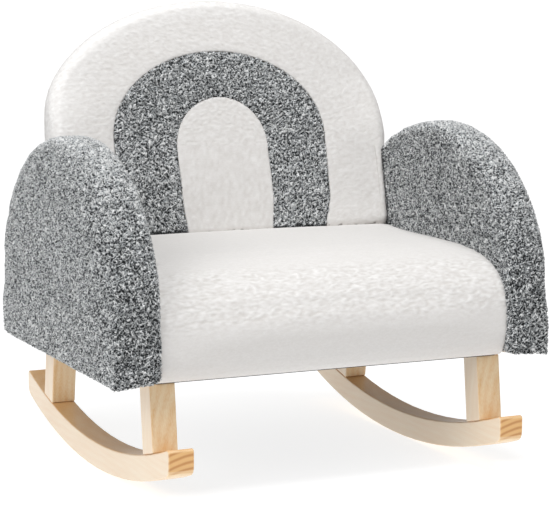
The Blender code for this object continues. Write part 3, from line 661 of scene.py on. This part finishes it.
def smoothstep(low, high, value):
    """The same rise for one value, for which an array would be slow."""
    share = min(max((value - low) / (high - low), 0.0), 1.0)
    return share * share * (3 - 2 * share)


def new_piece(name, mesh, material):
    """A finished piece at the origin that rides with the chair."""
    piece = bpy.data.objects.new(name, mesh)
    bpy.context.scene.collection.objects.link(piece)
    mesh.materials.clear()
    mesh.materials.append(material)
    mesh.shade_smooth()
    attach(piece, "root")
    return piece


def applied(piece):
    """A new mesh of a piece with its modifiers applied."""
    graph = bpy.context.evaluated_depsgraph_get()
    return bpy.data.meshes.new_from_object(piece.evaluated_get(graph))


def coordinates(mesh, what="co"):
    """Every vertex's place or normal as an array of rows."""
    values = np.empty(len(mesh.vertices) * 3, np.float32)
    if what == "co":
        mesh.vertices.foreach_get("co", values)
    else:
        mesh.vertex_normals.foreach_get("vector", values)
    return values.reshape(-1, 3)


def place_vertices(mesh, places):
    """Move every vertex to its row of an array."""
    mesh.vertices.foreach_set("co", np.ascontiguousarray(places, np.float32).ravel())
    mesh.update()


def pad_blank(name, nodes, voxel):
    """One closed skin round merged copies of CAD nodes, made of even quads."""
    bm = bmesh.new()
    for node in nodes:
        bm.from_mesh(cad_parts[node].data)
    bmesh.ops.remove_doubles(bm, verts=bm.verts, dist=0.00001)
    mesh = bpy.data.meshes.new(name)
    bm.to_mesh(mesh)
    bm.free()
    blank = bpy.data.objects.new(name, mesh)
    bpy.context.scene.collection.objects.link(blank)
    remesh = blank.modifiers.new("Even quads", "REMESH")
    remesh.mode = "VOXEL"
    remesh.voxel_size = voxel
    skin = applied(blank)
    blank.modifiers.clear()
    blank.data = skin
    return blank


def smooth_blank(blank, rounds):
    """Even out the steps that the remesh leaves, a little more with each round."""
    bm = bmesh.new()
    bm.from_mesh(blank.data)
    for _ in range(rounds):
        bmesh.ops.smooth_vert(
            bm, verts=bm.verts, factor=0.5, use_axis_x=True, use_axis_y=True, use_axis_z=True
        )
    bm.to_mesh(blank.data)
    bm.free()
    blank.data.update()


def inflate(blank, start, cap, freedom):
    """Fill a blank by cloth simulation; no point ends more than cap x freedom from its place."""
    rest = coordinates(blank.data).copy()
    normals = coordinates(blank.data, "normal")
    share = freedom(rest, normals)[:, None]
    place_vertices(blank.data, rest - normals * start * share)
    cloth = blank.modifiers.new("Fabric", "CLOTH")
    cloth.settings.use_pressure = True
    cloth.settings.uniform_pressure_force = CLOTH_PRESSURE
    cloth.settings.effector_weights.gravity = 0.0
    cloth.settings.quality = CLOTH_QUALITY
    cloth.point_cache.frame_start = 1
    cloth.point_cache.frame_end = CLOTH_STEPS
    for step in range(1, CLOTH_STEPS + 1):
        bpy.context.scene.frame_set(step)
    filled = coordinates(applied(blank))
    blank.modifiers.clear()
    bpy.context.scene.frame_set(1)
    move = filled - rest
    length = np.maximum(np.linalg.norm(move, axis=1, keepdims=True), 1e-9)
    place_vertices(blank.data, rest + move * np.minimum(length, cap) / length * share)


def subdivided(blank, levels):
    """The blank's mesh after smooth subdivision."""
    finer = blank.modifiers.new("Finer", "SUBSURF")
    finer.levels = levels
    finer.render_levels = levels
    mesh = applied(blank)
    bpy.data.objects.remove(blank)
    return mesh


def curled_noise(places, size, stretch, bends, swing):
    """Noise from -1 to 1 at every place, in curls about as wide as size."""
    values = np.empty(len(places))
    for here, place in enumerate(places):
        point = Vector((place[0] * stretch, place[1], place[2])) / size
        values[here] = noise.noise(point + noise.noise_vector(point * bends) * swing)
    return values


def loop_heights(places, size):
    """Bouclé: curled loops as winding ridges, from 0 in a gap to 1 on a loop's tip."""
    off_ridge = np.abs(curled_noise(places, size, *LOOP_CURLS)) * LOOP_STEEPNESS
    return (1.0 - np.minimum(1.0, off_ridge)).astype(np.float32)


def tuft_heights(places, size):
    """Sherpa: small matted curls, from 0 between them to 1 on top."""
    curls = curled_noise(places, size, *TUFT_CURLS)
    return np.clip(0.5 + 0.5 * curls, 0.0, 1.0).astype(np.float32)


def ripple_heights(places, size):
    """Creases that lie across the rolled nose of the seat, and fade out above and below it."""
    creases = (RIPPLE_STRENGTH * curled_noise(places, size, *RIPPLE_CURLS)).astype(np.float32)
    z = places[:, 2]
    share = eased_step(*RIPPLE_LOW, z) * (1 - eased_step(*RIPPLE_HIGH, z))
    share *= 1 - eased_step(*RIPPLE_REAR, places[:, 1])
    return np.clip(0.5 + creases * (RIPPLE_REST + (1 - RIPPLE_REST) * share), 0.0, 1.0)


def tightened(distance, radius, tight, reach):
    """Distance from a face, drawn in so that an edge of one radius gets a tighter one."""
    past = tight + (distance - radius) * (reach - tight) / (reach - radius)
    near = np.where(distance < radius, distance * tight / radius, past)
    return np.where(distance < reach, near, distance)


def square_up(blank, sign):
    """Tighten an arm's upright edges low down and its bottom edges, and hang its front corner."""
    places = coordinates(blank.data).copy()
    x, y, z = places[:, 0] * sign, places[:, 1], places[:, 2]
    low = 1 - eased_step(*ARM_TIGHT_FADE, z)
    outer, front, rear, bottom = x.max(), y.min(), y.max(), z.min()
    for axis, start, way in ((0, outer, -1), (1, front, 1), (1, rear, -1)):
        here = places[:, axis] * (sign if axis == 0 else 1)
        distance = (here - start) * way
        moved = start + way * tightened(distance, ARM_EDGE, ARM_TIGHT_EDGE, ARM_UPRIGHT_REACH)
        moved = here + (moved - here) * low
        places[:, axis] = moved * (sign if axis == 0 else 1)
    lowered = bottom + tightened(z - bottom, ARM_EDGE, ARM_TIGHT_EDGE, ARM_BOTTOM_REACH)
    places[:, 2] = z + (lowered - z) * eased_step(ARM_INNER_FACE, outer, x)
    places[:, 2] += ARM_BOTTOM_LIFT * (1 - eased_step(0.0, ARM_BOTTOM_FADE, z - bottom))
    away = np.linalg.norm(places - (outer * sign, front, bottom), axis=1)
    places[:, 2] -= ARM_TIP_DROP * np.exp(-((away / ARM_TIP_REACH) ** 2))
    place_vertices(blank.data, places)


def stuff_arch(blank, sign):
    """Fill an arm's arch out to the rear, the front and the crest, and slim its foot."""
    places = coordinates(blank.data).copy()
    x, y, z = places[:, 0] * sign, places[:, 1], places[:, 2]
    along = y - ARM_MIDDLE
    high = eased_step(*ARM_ARCH, z)
    y = y + ARM_REAR_FILL * eased_step(0.0, ARM_REAR_RUN, along) * high
    y = y - ARM_FRONT_FILL * eased_step(0.0, ARM_FRONT_RUN, -along) * high
    sideways = ARM_SIDE_FILL * high - ARM_FOOT_SLIM * (1 - high)
    x = x + sideways * eased_step(ARM_INNER_FACE, ARM_SIDE_END, x)
    places[:, 0] = np.maximum(x, ARM_INNER_FACE + ARM_PRESS) * sign
    places[:, 1] = y
    places[:, 2] = z + ARM_CREST_LIFT[sign] * eased_step(*ARM_CREST, z)
    place_vertices(blank.data, places)


def fit_between_arms(blank):
    """Set the seat's sides flat against the arms, and lift its cover over the dust cover."""
    places = coordinates(blank.data).copy()
    across = np.abs(places[:, 0])
    side = across.max() - across
    widened = SEAT_HALF_WIDTH - tightened(side, SEAT_EDGE, SEAT_TIGHT_EDGE, SEAT_EDGE_REACH)
    places[:, 0] = np.sign(places[:, 0]) * np.where(side < SEAT_EDGE_REACH, widened, across)
    inside = (across < UNDERSIDE_HALF_WIDTH) & (places[:, 1] > UNDERSIDE_FRONT)
    inside &= places[:, 2] < UNDERSIDE_TOP
    places[inside, 2] = np.maximum(places[inside, 2], UNDERSIDE_LEVEL)
    place_vertices(blank.data, places)


def raise_pile(mesh, heights, depth, lift=0.0):
    """Move every vertex out or in by the pile over it and keep that height for the material.

    The last argument is how much paler the loops are painted on upward-facing surfaces: painted light
    from above.
    """
    places = coordinates(mesh)
    normals = coordinates(mesh, "normal")
    middle = float(heights.mean())
    move = (heights - middle) * depth
    place_vertices(mesh, places + normals * move[:, None])
    pile = mesh.attributes.new("pile", "FLOAT", "POINT")
    shown = heights + lift * eased_step(TOP_PAINTED_LIGHT_TURN, 1.0, normals[:, 2])
    pile.data.foreach_set("value", shown.astype(np.float32))


def paint_pile_shade(mesh, near, depth, extra=0.0):
    """Paint shade into the pile's colour by depth where near is 1 (a negative depth paints light
    instead), and show extra all over.
    """
    values = np.empty(len(mesh.vertices), np.float32)
    pile = mesh.attributes["pile"]
    pile.data.foreach_get("value", values)
    pile.data.foreach_set("value", (values + extra - depth * near).astype(np.float32))


def painted_shade_above_seat(mesh):
    """1 where shade is painted onto a panel of the back as it goes down behind the seat's top, 0 away
    from there.
    """
    return 1 - eased_step(*CREASE_SHADE_HEIGHTS, coordinates(mesh)[:, 2] - SEAT_TOP)


def painted_rim_light(mesh):
    """1 along the left and top rim of the back, where paler tufts are painted in as light washing over
    it, and 0 inside it.
    """
    x, y, z = coordinates(mesh).T
    height = (z - SEAT_TOP) / math.cos(BACK_RECLINE)
    rise = np.maximum(height - BACK_SPRING, 0.0) / (BACK_HEIGHT - BACK_SPRING)
    inset = (1 - np.hypot(x / BACK_HALF_WIDTH, rise)) * BACK_HALF_WIDTH
    fading = (1 - eased_step(*RIM_PAINTED_LIGHT_SIDE, x)) * eased_step(*RIM_PAINTED_LIGHT_RISE, height)
    return (1 - eased_step(0.0, RIM_PAINTED_LIGHT_WIDTH, inset)) * fading


def painted_shade_behind_back(mesh, sign):
    """1 where shade is painted onto an arm's inner face as it goes in behind the back's side, 0 away from
    there.
    """
    places = coordinates(mesh)
    x, y, z = places[:, 0] * sign, places[:, 1], places[:, 2]
    behind = eased_step(-ARM_SHADE_START, 0.0, y - face_y(z) + BACK_SIDE_BULGE)
    inner = (x < ARM_INNER_FACE + ARM_SHADE_WIDTH) * (z > SEAT_TOP)
    return behind * inner * (1 - eased_step(*ARM_SHADE_TOP, z))


# The back's form


def face_y(z):
    """Depth of the back's front face at a height."""
    return BACK_FACE + (z - SEAT_TOP) * math.tan(BACK_RECLINE)


def rear_y(z):
    """Depth of the back's rear: parallel to the face, and flared out to the base low down."""
    plane = face_y(z) + BACK_THICKNESS / math.cos(BACK_RECLINE)
    return BASE_REAR + (plane - BASE_REAR) * smoothstep(*REAR_FLARE, z)


def back_point(half_width, x, height, depth=0.0, from_rear=False):
    """A point on the back: x and height on its arch of half_width, depth behind the face."""
    reach = max(0.0, (half_width - ARCH_SEAM[0]) / (BACK_HALF_WIDTH - ARCH_SEAM[0]))
    swell = smoothstep(*BACK_SWELL, height)
    pinch = 1 - (1 - BACK_PINCH) * (1 - swell)
    rim = BACK_HALF_WIDTH - half_width
    low = ARM_INNER_FACE + BACK_PRESS - rim * BACK_PINCH
    if rim > BACK_RIM:
        low = ARM_INNER_FACE * reach + half_width * (1 - reach)
    share = swell + (1 - swell) * low / half_width
    off_shoulder = (height - BACK_SHOULDER_HEIGHT) / BACK_SHOULDER_SPREAD
    share *= 1 - BACK_SHOULDER_SLIM * reach * math.exp(-(off_shoulder**2))
    share *= 1 - BACK_TUCK * (1 - smoothstep(0, BACK_TUCK_HEIGHT, height)) * (1 - reach)
    z = SEAT_TOP + height * math.cos(BACK_RECLINE)
    outward = (half_width - CENTRE_SEAM[0]) / (ARCH_SEAM[0] - CENTRE_SEAM[0])
    shifted = min(1.0, smoothstep(*SEAM_SHIFT_RISE, height) + max(0.0, outward))
    x -= SEAM_SHIFT * shifted * (1 - reach)
    if from_rear:
        return Vector((x * share, rear_y(z) - depth * pinch, z))
    y = face_y(z) + depth * pinch
    flat = BACK_HALF_WIDTH - BACK_FRONT_RADIUS
    y -= BACK_CROWN * smoothstep(0, BACK_CROWN_RISE, height) * max(0.0, 1 - (half_width / flat) ** 2)
    bulge = smoothstep(*BACK_BULGE, height) - smoothstep(*BACK_BULGE_FADE, height)
    y -= BACK_SIDE_BULGE * bulge * min(1, reach * BACK_BULGE_REACH)
    return Vector((x * share, y, z))


def arch_between(half_width):
    """Spring and top heights of the arch of a given half width, between the sewn seams."""
    keys = [(0.0, CENTRE_SEAM[1], CENTRE_SEAM[1]), CENTRE_SEAM, ARCH_SEAM]
    keys.append((BACK_HALF_WIDTH, BACK_SPRING, BACK_HEIGHT))
    for (w0, s0, h0), (w1, s1, h1) in zip(keys, keys[1:]):
        if half_width <= w1 + 1e-9:
            share = (half_width - w0) / (w1 - w0)
            return s0 + (s1 - s0) * share, h0 + (h1 - h0) * share
    raise ValueError("this arch is wider than the back")


def arch_line(half_width, bottom_z, count):
    """(x, height) of count points up one side of an arch, over it and down the other side."""
    spring, top = arch_between(half_width)
    bottom = (bottom_z - SEAT_TOP) / math.cos(BACK_RECLINE)
    half = count // 2
    wall = int(half * UPRIGHT_SHARE)
    left = [(-half_width, bottom + (spring - bottom) * step / wall) for step in range(wall)]
    for step in range(half - wall + 1):
        turn = math.pi - math.pi / 2 * step / (half - wall)
        left.append((half_width * math.cos(turn), spring + (top - spring) * math.sin(turn)))
    return left + [(-x, height) for x, height in reversed(left[:-1])]


def bent_grid(rows):
    """A grid whose rows of vertices lie at the given points."""
    bm = bmesh.new()
    bmesh.ops.create_grid(bm, x_segments=len(rows[0]) - 1, y_segments=len(rows) - 1, size=1.0)
    places = [point for row in rows for point in row]
    for vert, place in zip(bm.verts, places):
        vert.co = place
    return bm


def panel_mesh(name, bm, facing):
    """A sewn panel's mesh, facing forwards (-1) or backwards (1)."""
    bmesh.ops.remove_doubles(bm, verts=bm.verts, dist=0.00002)
    bmesh.ops.recalc_face_normals(bm, faces=bm.faces)
    if sum(face.normal.y * face.calc_area() for face in bm.faces) * facing < 0:
        bmesh.ops.reverse_faces(bm, faces=bm.faces)
    mesh = bpy.data.meshes.new(name)
    bm.to_mesh(mesh)
    bm.free()
    return mesh


def spaced(start, end, step):
    """Values from start to end, about a step apart, both included."""
    count = max(2, round(abs(end - start) / step) + 1)
    return [start + (end - start) * here / (count - 1) for here in range(count)]


def rim_turns(radius, step):
    """(inset, depth) from the side wall to the face round a rounded rim."""
    turns = spaced(0.0, math.pi / 2, step / radius)
    return [(radius * (1 - math.cos(turn)), radius * (1 - math.sin(turn))) for turn in turns]


def seam_dip(distance):
    """How deep the cover is drawn in at a distance from a sewn seam."""
    return SEAM_DIP * math.exp(-distance / SEAM_DIP_WIDTH)


def arch_rows(widths, bottom_z, count, dip_at=()):
    """Rows of points on the back's face along nested arches, dipped beside the seams."""
    rows = []
    for width in widths:
        dip = sum(seam_dip(abs(width - seam)) for seam in dip_at)
        line = arch_line(width, bottom_z, count)
        rows.append([back_point(width, x, height, dip) for x, height in line])
    return rows


def band_rows(step, count):
    """Rows of the white band: the side wall, the rounded rim and the face to the grey arch."""
    line = arch_line(BACK_HALF_WIDTH, BACK_BOTTOM, count)
    front = [back_point(BACK_HALF_WIDTH, x, height, BACK_FRONT_RADIUS) for x, height in line]
    rear = [back_point(BACK_HALF_WIDTH, x, height, BACK_REAR_RADIUS, True) for x, height in line]
    rows = []
    for share in spaced(BAND_WALL_START, 1.0, step / BAND_WALL)[:-1]:
        rows.append([there.lerp(here, share) for here, there in zip(front, rear)])
    for inset, depth in rim_turns(BACK_FRONT_RADIUS, step):
        width = BACK_HALF_WIDTH - inset
        line = arch_line(width, BACK_BOTTOM, count)
        rows.append([back_point(width, x, height, depth) for x, height in line])
    flat = BACK_HALF_WIDTH - BACK_FRONT_RADIUS
    face = spaced(flat, ARCH_SEAM[0] + SEAM_GAP, step)[1:]
    return rows + arch_rows(face, BACK_BOTTOM, count, ARCH_SEAM[:1])


def centre_rows(step):
    """Rows across the white centre panel, each a little higher, closing at its crown."""
    width = CENTRE_SEAM[0] - SEAM_GAP
    line = arch_line(width, BACK_BOTTOM, 2 * round(CENTRE_OUTLINE / 2 / step) + 1)
    rows = []
    for x, height in line[:len(line) // 2 + 1]:
        row = []
        for share in spaced(-1.0, 1.0, step / width):
            edge = abs(x) * (1 - abs(share) + CENTRE_LEAST_EDGE)
            row.append(back_point(width, abs(x) * share, height, seam_dip(edge)))
        rows.append(row)
    return rows


def rear_rows(step, count):
    """Rows across the back's rear, and the rings of its rounded rim."""
    rings = []
    for inset, depth in rim_turns(BACK_REAR_RADIUS, step):
        width = BACK_HALF_WIDTH - inset
        line = arch_line(width, REAR_BOTTOM, count)
        rings.append([back_point(width, x, height, depth, True) for x, height in line])
    across = []
    edge = rings[-1]
    for here in range(count // 2 + 1):
        low, high = edge[here], edge[-1 - here]
        across.append([low.lerp(high, share) for share in spaced(0.0, 1.0, step / REAR_WIDTH)])
    return rings, across


# Operators


def set_finish(names, material):
    """Give CAD nodes that stay in view, or inside the chair, their material."""
    for name in names:
        for material_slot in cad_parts[name].material_slots:
            material_slot.material = material


class ROCKER_OT_runners(bpy.types.Operator):
    """Give the two runners and four legs their lacquered wood"""

    bl_idname = "rocker.runners"
    bl_label = "Runners and Legs"

    def execute(self, context):
        settings = context.scene.rocker
        for side, sign in (("left", -1), ("right", 1)):
            x = sign * RUNNER_MIDDLE
            heart = (x + RUNNER_HEART[0], 0.0, RUNNER_HEART[1])
            runner = rubberwood(f"rubberwood_runner_{side}", settings, heart, math.radians(90))
            set_finish([f"runner_{side}"], runner)
            for end, y, lean in LEG_STANDS:
                heart = (x + LEG_HEART[0], y + LEG_HEART[1], LEG_HEART[2])
                leg = rubberwood(f"rubberwood_leg_{end}_{side}", settings, heart, math.radians(lean))
                set_finish([f"leg_{end}_{side}"], leg)
        return {"FINISHED"}


class ROCKER_OT_inner_frame(bpy.types.Operator):
    """Finish the rails, boards, dowels, bolts and dust cover inside and under the chair"""

    bl_idname = "rocker.inner_frame"
    bl_label = "Inner Frame"

    def execute(self, context):
        pine = plain_grain("sawn_pine", "#E3C594", "#C89C62", (40.0, 40.0, 300.0), 0.75)
        birch = plain_grain("birch_plywood", "#E2CBA2", "#CDAE7C", (60.0, 25.0, 600.0), 0.6)
        beech = plain_grain("turned_beech", "#E0BE93", "#C99B69", (500.0, 500.0, 40.0), 0.55)
        names = list(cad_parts)
        set_finish([name for name in names if name.startswith(("rail_", "corner_block"))], pine)
        set_finish(["seat_deck", "back_board", "arm_board_left", "arm_board_right"], birch)
        set_finish([name for name in names if name.startswith("dowel_")], beech)
        metal = [
            name for name in names
            if name.endswith(("_bolt", "_insert")) or "_bolt_" in name or "_nut_" in name
        ]
        set_finish(metal, zinc_plate())
        set_finish(["dust_cover"], nonwoven())
        return {"FINISHED"}


class ROCKER_OT_arms(bpy.types.Operator):
    """Upholster both arms in grey bouclé"""

    bl_idname = "rocker.arms"
    bl_label = "Arms"

    def execute(self, context):
        settings = context.scene.rocker
        cloth = boucle(settings)
        for side, sign in (("left", -1), ("right", 1)):
            nodes = [f"arm_cover_{side}", f"arm_foam_{side}", f"arm_board_{side}"]
            blank = pad_blank(f"arm_{side}_boucle", nodes, ARM_QUAD)
            smooth_blank(blank, 2)

            def freedom(places, normals):
                inner = eased_step(*FACING, -normals[:, 0] * sign)
                under = eased_step(*FACING, -normals[:, 2])
                pressed = (places[:, 2] < ARM_PRESSED_HEIGHT) | (places[:, 1] > ARM_PRESSED_REAR)
                return (1 - inner * np.where(pressed, 1.0, ARM_INNER_HOLD)) * (1 - under)

            inflate(blank, *ARM_SLACK, freedom)
            square_up(blank, sign)
            stuff_arch(blank, sign)
            mesh = subdivided(blank, 2)
            heights = loop_heights(coordinates(mesh), settings.loop_size)
            # the arm's upward faces get painted light: their loops are drawn paler
            raise_pile(mesh, heights, settings.loop_height, TOP_PAINTED_LIGHT)
            # paint shade onto the inner face where it goes in behind the back
            paint_pile_shade(mesh, painted_shade_behind_back(mesh, sign), 1.0)
            piece = new_piece(f"arm_{side}_boucle", mesh, cloth)
            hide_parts(f"arm_cover_{side}", f"arm_foam_{side}")
        return {"FINISHED"}


class ROCKER_OT_seat(bpy.types.Operator):
    """Upholster the seat in white sherpa"""

    bl_idname = "rocker.seat"
    bl_label = "Seat"

    def execute(self, context):
        settings = context.scene.rocker
        nodes = ["seat_cover", "seat_foam", "seat_deck", "rail_left", "rail_right"]
        nodes += ["rail_front", "rail_rear", "dust_cover"]
        blank = pad_blank("seat_sherpa", nodes, SEAT_QUAD)
        smooth_blank(blank, 1)

        def freedom(places, normals):
            side = eased_step(*FACING, np.abs(normals[:, 0]))
            under = eased_step(*FACING_DOWN, -normals[:, 2])
            held = np.maximum(under, eased_step(*FACING_REAR, normals[:, 1]))
            return (1 - side) * (1 - held) * eased_step(HEM, HEM + SEAT_HELD, places[:, 2])

        inflate(blank, *SEAT_SLACK, freedom)
        fit_between_arms(blank)
        mesh = subdivided(blank, 1)
        heights = ripple_heights(coordinates(mesh), settings.tuft_size * RIPPLE_SIZE)
        raise_pile(mesh, heights, settings.tuft_height * RIPPLE_DEPTH)
        piece = new_piece("seat_sherpa", mesh, sherpa(settings, "white_sherpa_pressed", 0.16))
        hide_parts("seat_cover", "seat_foam")
        return {"FINISHED"}


class ROCKER_OT_back(bpy.types.Operator):
    """Upholster the back: white band, grey arch, white centre and rear cover"""

    bl_idname = "rocker.back"
    bl_label = "Back"

    def execute(self, context):
        settings = context.scene.rocker
        white = sherpa(settings, "white_sherpa_brushed", 0.42)
        grey = boucle(settings)
        seams = (CENTRE_SEAM[0], ARCH_SEAM[0])
        step, count = ARCH_GRID
        widths = spaced(seams[0] + SEAM_GAP, seams[1] - SEAM_GAP, step)
        arch = arch_rows(widths, BACK_BOTTOM, count, seams)
        rings, across = rear_rows(*REAR_GRID)
        rear = bent_grid(rings)
        middle = bpy.data.meshes.new("rear_middle")
        grid = bent_grid(across)
        grid.to_mesh(middle)
        grid.free()
        rear.from_mesh(middle)
        panels = (
            ("back_band_sherpa", bent_grid(band_rows(*BAND_GRID)), -1, white, ["back_band_cover"]),
            ("back_arch_boucle", bent_grid(arch), -1, grey, ["back_arch_panel"]),
            ("back_centre_sherpa", bent_grid(centre_rows(CENTRE_STEP)), -1, white, ["back_centre_panel"]),
            ("back_rear_sherpa", rear, 1, white, ["back_rear_cover", "back_foam"]),
        )
        for name, bm, facing, cloth, nodes in panels:
            mesh = panel_mesh(name, bm, facing)
            if cloth is grey:
                heights = loop_heights(coordinates(mesh), settings.loop_size)
                raise_pile(mesh, heights, settings.loop_height)
                # paint shade into the loops just above the seat, and make the arch's loops paler all over
                paint_pile_shade(mesh, painted_shade_above_seat(mesh), 1.0, ARCH_LOOPS)
            else:
                heights = tuft_heights(coordinates(mesh), settings.tuft_size)
                raise_pile(mesh, heights, settings.tuft_height)
                if facing < 0:
                    # paint shade into the tufts just above the seat
                    paint_pile_shade(mesh, painted_shade_above_seat(mesh), CREASE_SHADE)
                if name == "back_band_sherpa":
                    # painted light: the band's left and top rim drawn paler
                    paint_pile_shade(mesh, painted_rim_light(mesh), -RIM_PAINTED_LIGHT)
            piece = new_piece(name, mesh, cloth)
            wall = piece.modifiers.new("Cloth thickness", "SOLIDIFY")
            wall.thickness = COVER_THICKNESS
            wall.offset = -1.0
            piece.data = applied(piece)
            piece.modifiers.clear()
            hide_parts(*nodes)
        return {"FINISHED"}


class ROCKER_OT_stage(bpy.types.Operator):
    """Set the pale floor, the soft lights, the world and the camera"""

    bl_idname = "rocker.stage"
    bl_label = "Stage"

    def execute(self, context):
        scene = context.scene
        settings = scene.rocker
        scene.view_settings.view_transform = "Standard"
        bm = bmesh.new()
        bmesh.ops.create_circle(bm, cap_ends=True, segments=96, radius=settings.floor_size / 2)
        mesh = bpy.data.meshes.new("floor")
        bm.to_mesh(mesh)
        bm.free()
        floor = bpy.data.objects.new("floor", mesh)
        scene.collection.objects.link(floor)
        material, tree, shader, place = new_material("backlit_white_acrylic", roughness=0.9)
        shader.inputs["Base Color"].default_value = (*[FLOOR_ALBEDO] * 3, 1.0)
        shader.inputs["Emission Color"].default_value = WHITE
        shader.inputs["Emission Strength"].default_value = settings.floor_glow
        mesh.materials.append(material)

        world = bpy.data.worlds.new("studio")
        world.use_nodes = True
        tree = world.node_tree
        tree.nodes.clear()
        path = add_node(tree, "ShaderNodeLightPath")
        room, backdrop = [
            add_node(tree, "ShaderNodeBackground", inputs={"Color": WHITE, "Strength": glow})
            for glow in (settings.room_light, BACKDROP_GLOW)
        ]
        seen = add_node(
            tree,
            "ShaderNodeMixShader",
            inputs={
                0: path.outputs["Is Camera Ray"],
                1: room.outputs["Background"],
                2: backdrop.outputs["Background"],
            },
        )
        add_node(tree, "ShaderNodeOutputWorld", inputs={"Surface": seen.outputs["Shader"]})
        scene.world = world

        for name, away, size, power in (
            ("key", Vector((-2.2, -0.8, 1.5)), 2.0, settings.key_power),
            ("top", Vector((0.2, -0.8, 2.7)), 1.0, settings.top_power),
        ):
            light = bpy.data.lights.new(name, "AREA")
            light.shape = "DISK"
            light.size = size
            light.energy = power
            lamp = bpy.data.objects.new(name, light)
            lamp.location = CAMERA_TARGET + away
            lamp.rotation_mode = "QUATERNION"
            lamp.rotation_quaternion = (-away).to_track_quat("-Z", "Y")
            scene.collection.objects.link(lamp)

        lens = bpy.data.cameras.new("camera")
        lens.lens = CAMERA_LENS
        lens.sensor_width = 36.0
        lens.shift_x, lens.shift_y = CAMERA_SHIFT
        camera = bpy.data.objects.new("camera", lens)
        away = Vector((
            math.sin(CAMERA_AZIMUTH) * math.cos(CAMERA_ELEVATION),
            -math.cos(CAMERA_AZIMUTH) * math.cos(CAMERA_ELEVATION),
            math.sin(CAMERA_ELEVATION),
        ))
        camera.location = CAMERA_TARGET + away * CAMERA_DISTANCE
        camera.rotation_mode = "QUATERNION"
        camera.rotation_quaternion = (-away).to_track_quat("-Z", "Y")
        scene.collection.objects.link(camera)
        scene.camera = camera
        return {"FINISHED"}


class ROCKER_PT_panel(bpy.types.Panel):
    """Lists the steps that dress the chair"""

    bl_label = "Rocking Chair"
    bl_idname = "ROCKER_PT_panel"
    bl_space_type = "VIEW_3D"
    bl_region_type = "UI"
    bl_category = "Rocking Chair"

    def draw(self, context):
        for step in OPERATORS:
            self.layout.operator(step.bl_idname)
        for name in RockerSettings.__annotations__:
            self.layout.prop(context.scene.rocker, name)


OPERATORS = (
    ROCKER_OT_stage,
    ROCKER_OT_runners,
    ROCKER_OT_inner_frame,
    ROCKER_OT_arms,
    ROCKER_OT_seat,
    ROCKER_OT_back,
)
CLASSES = (RockerSettings, *OPERATORS, ROCKER_PT_panel)


def register():
    """Make the settings, the steps and the panel known to Blender."""
    for item in CLASSES:
        bpy.utils.register_class(item)
    bpy.types.Scene.rocker = bpy.props.PointerProperty(type=RockerSettings)


def unregister():
    """Take them all out again."""
    del bpy.types.Scene.rocker
    for item in reversed(CLASSES):
        bpy.utils.unregister_class(item)


def main():
    """Dress the chair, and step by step."""
    register()
    bpy.ops.rocker.stage()
    bpy.ops.rocker.runners()
    bpy.ops.rocker.inner_frame()
    bpy.ops.rocker.arms()
    bpy.ops.rocker.seat()
    bpy.ops.rocker.back()


if __name__ == "__main__":
    main()
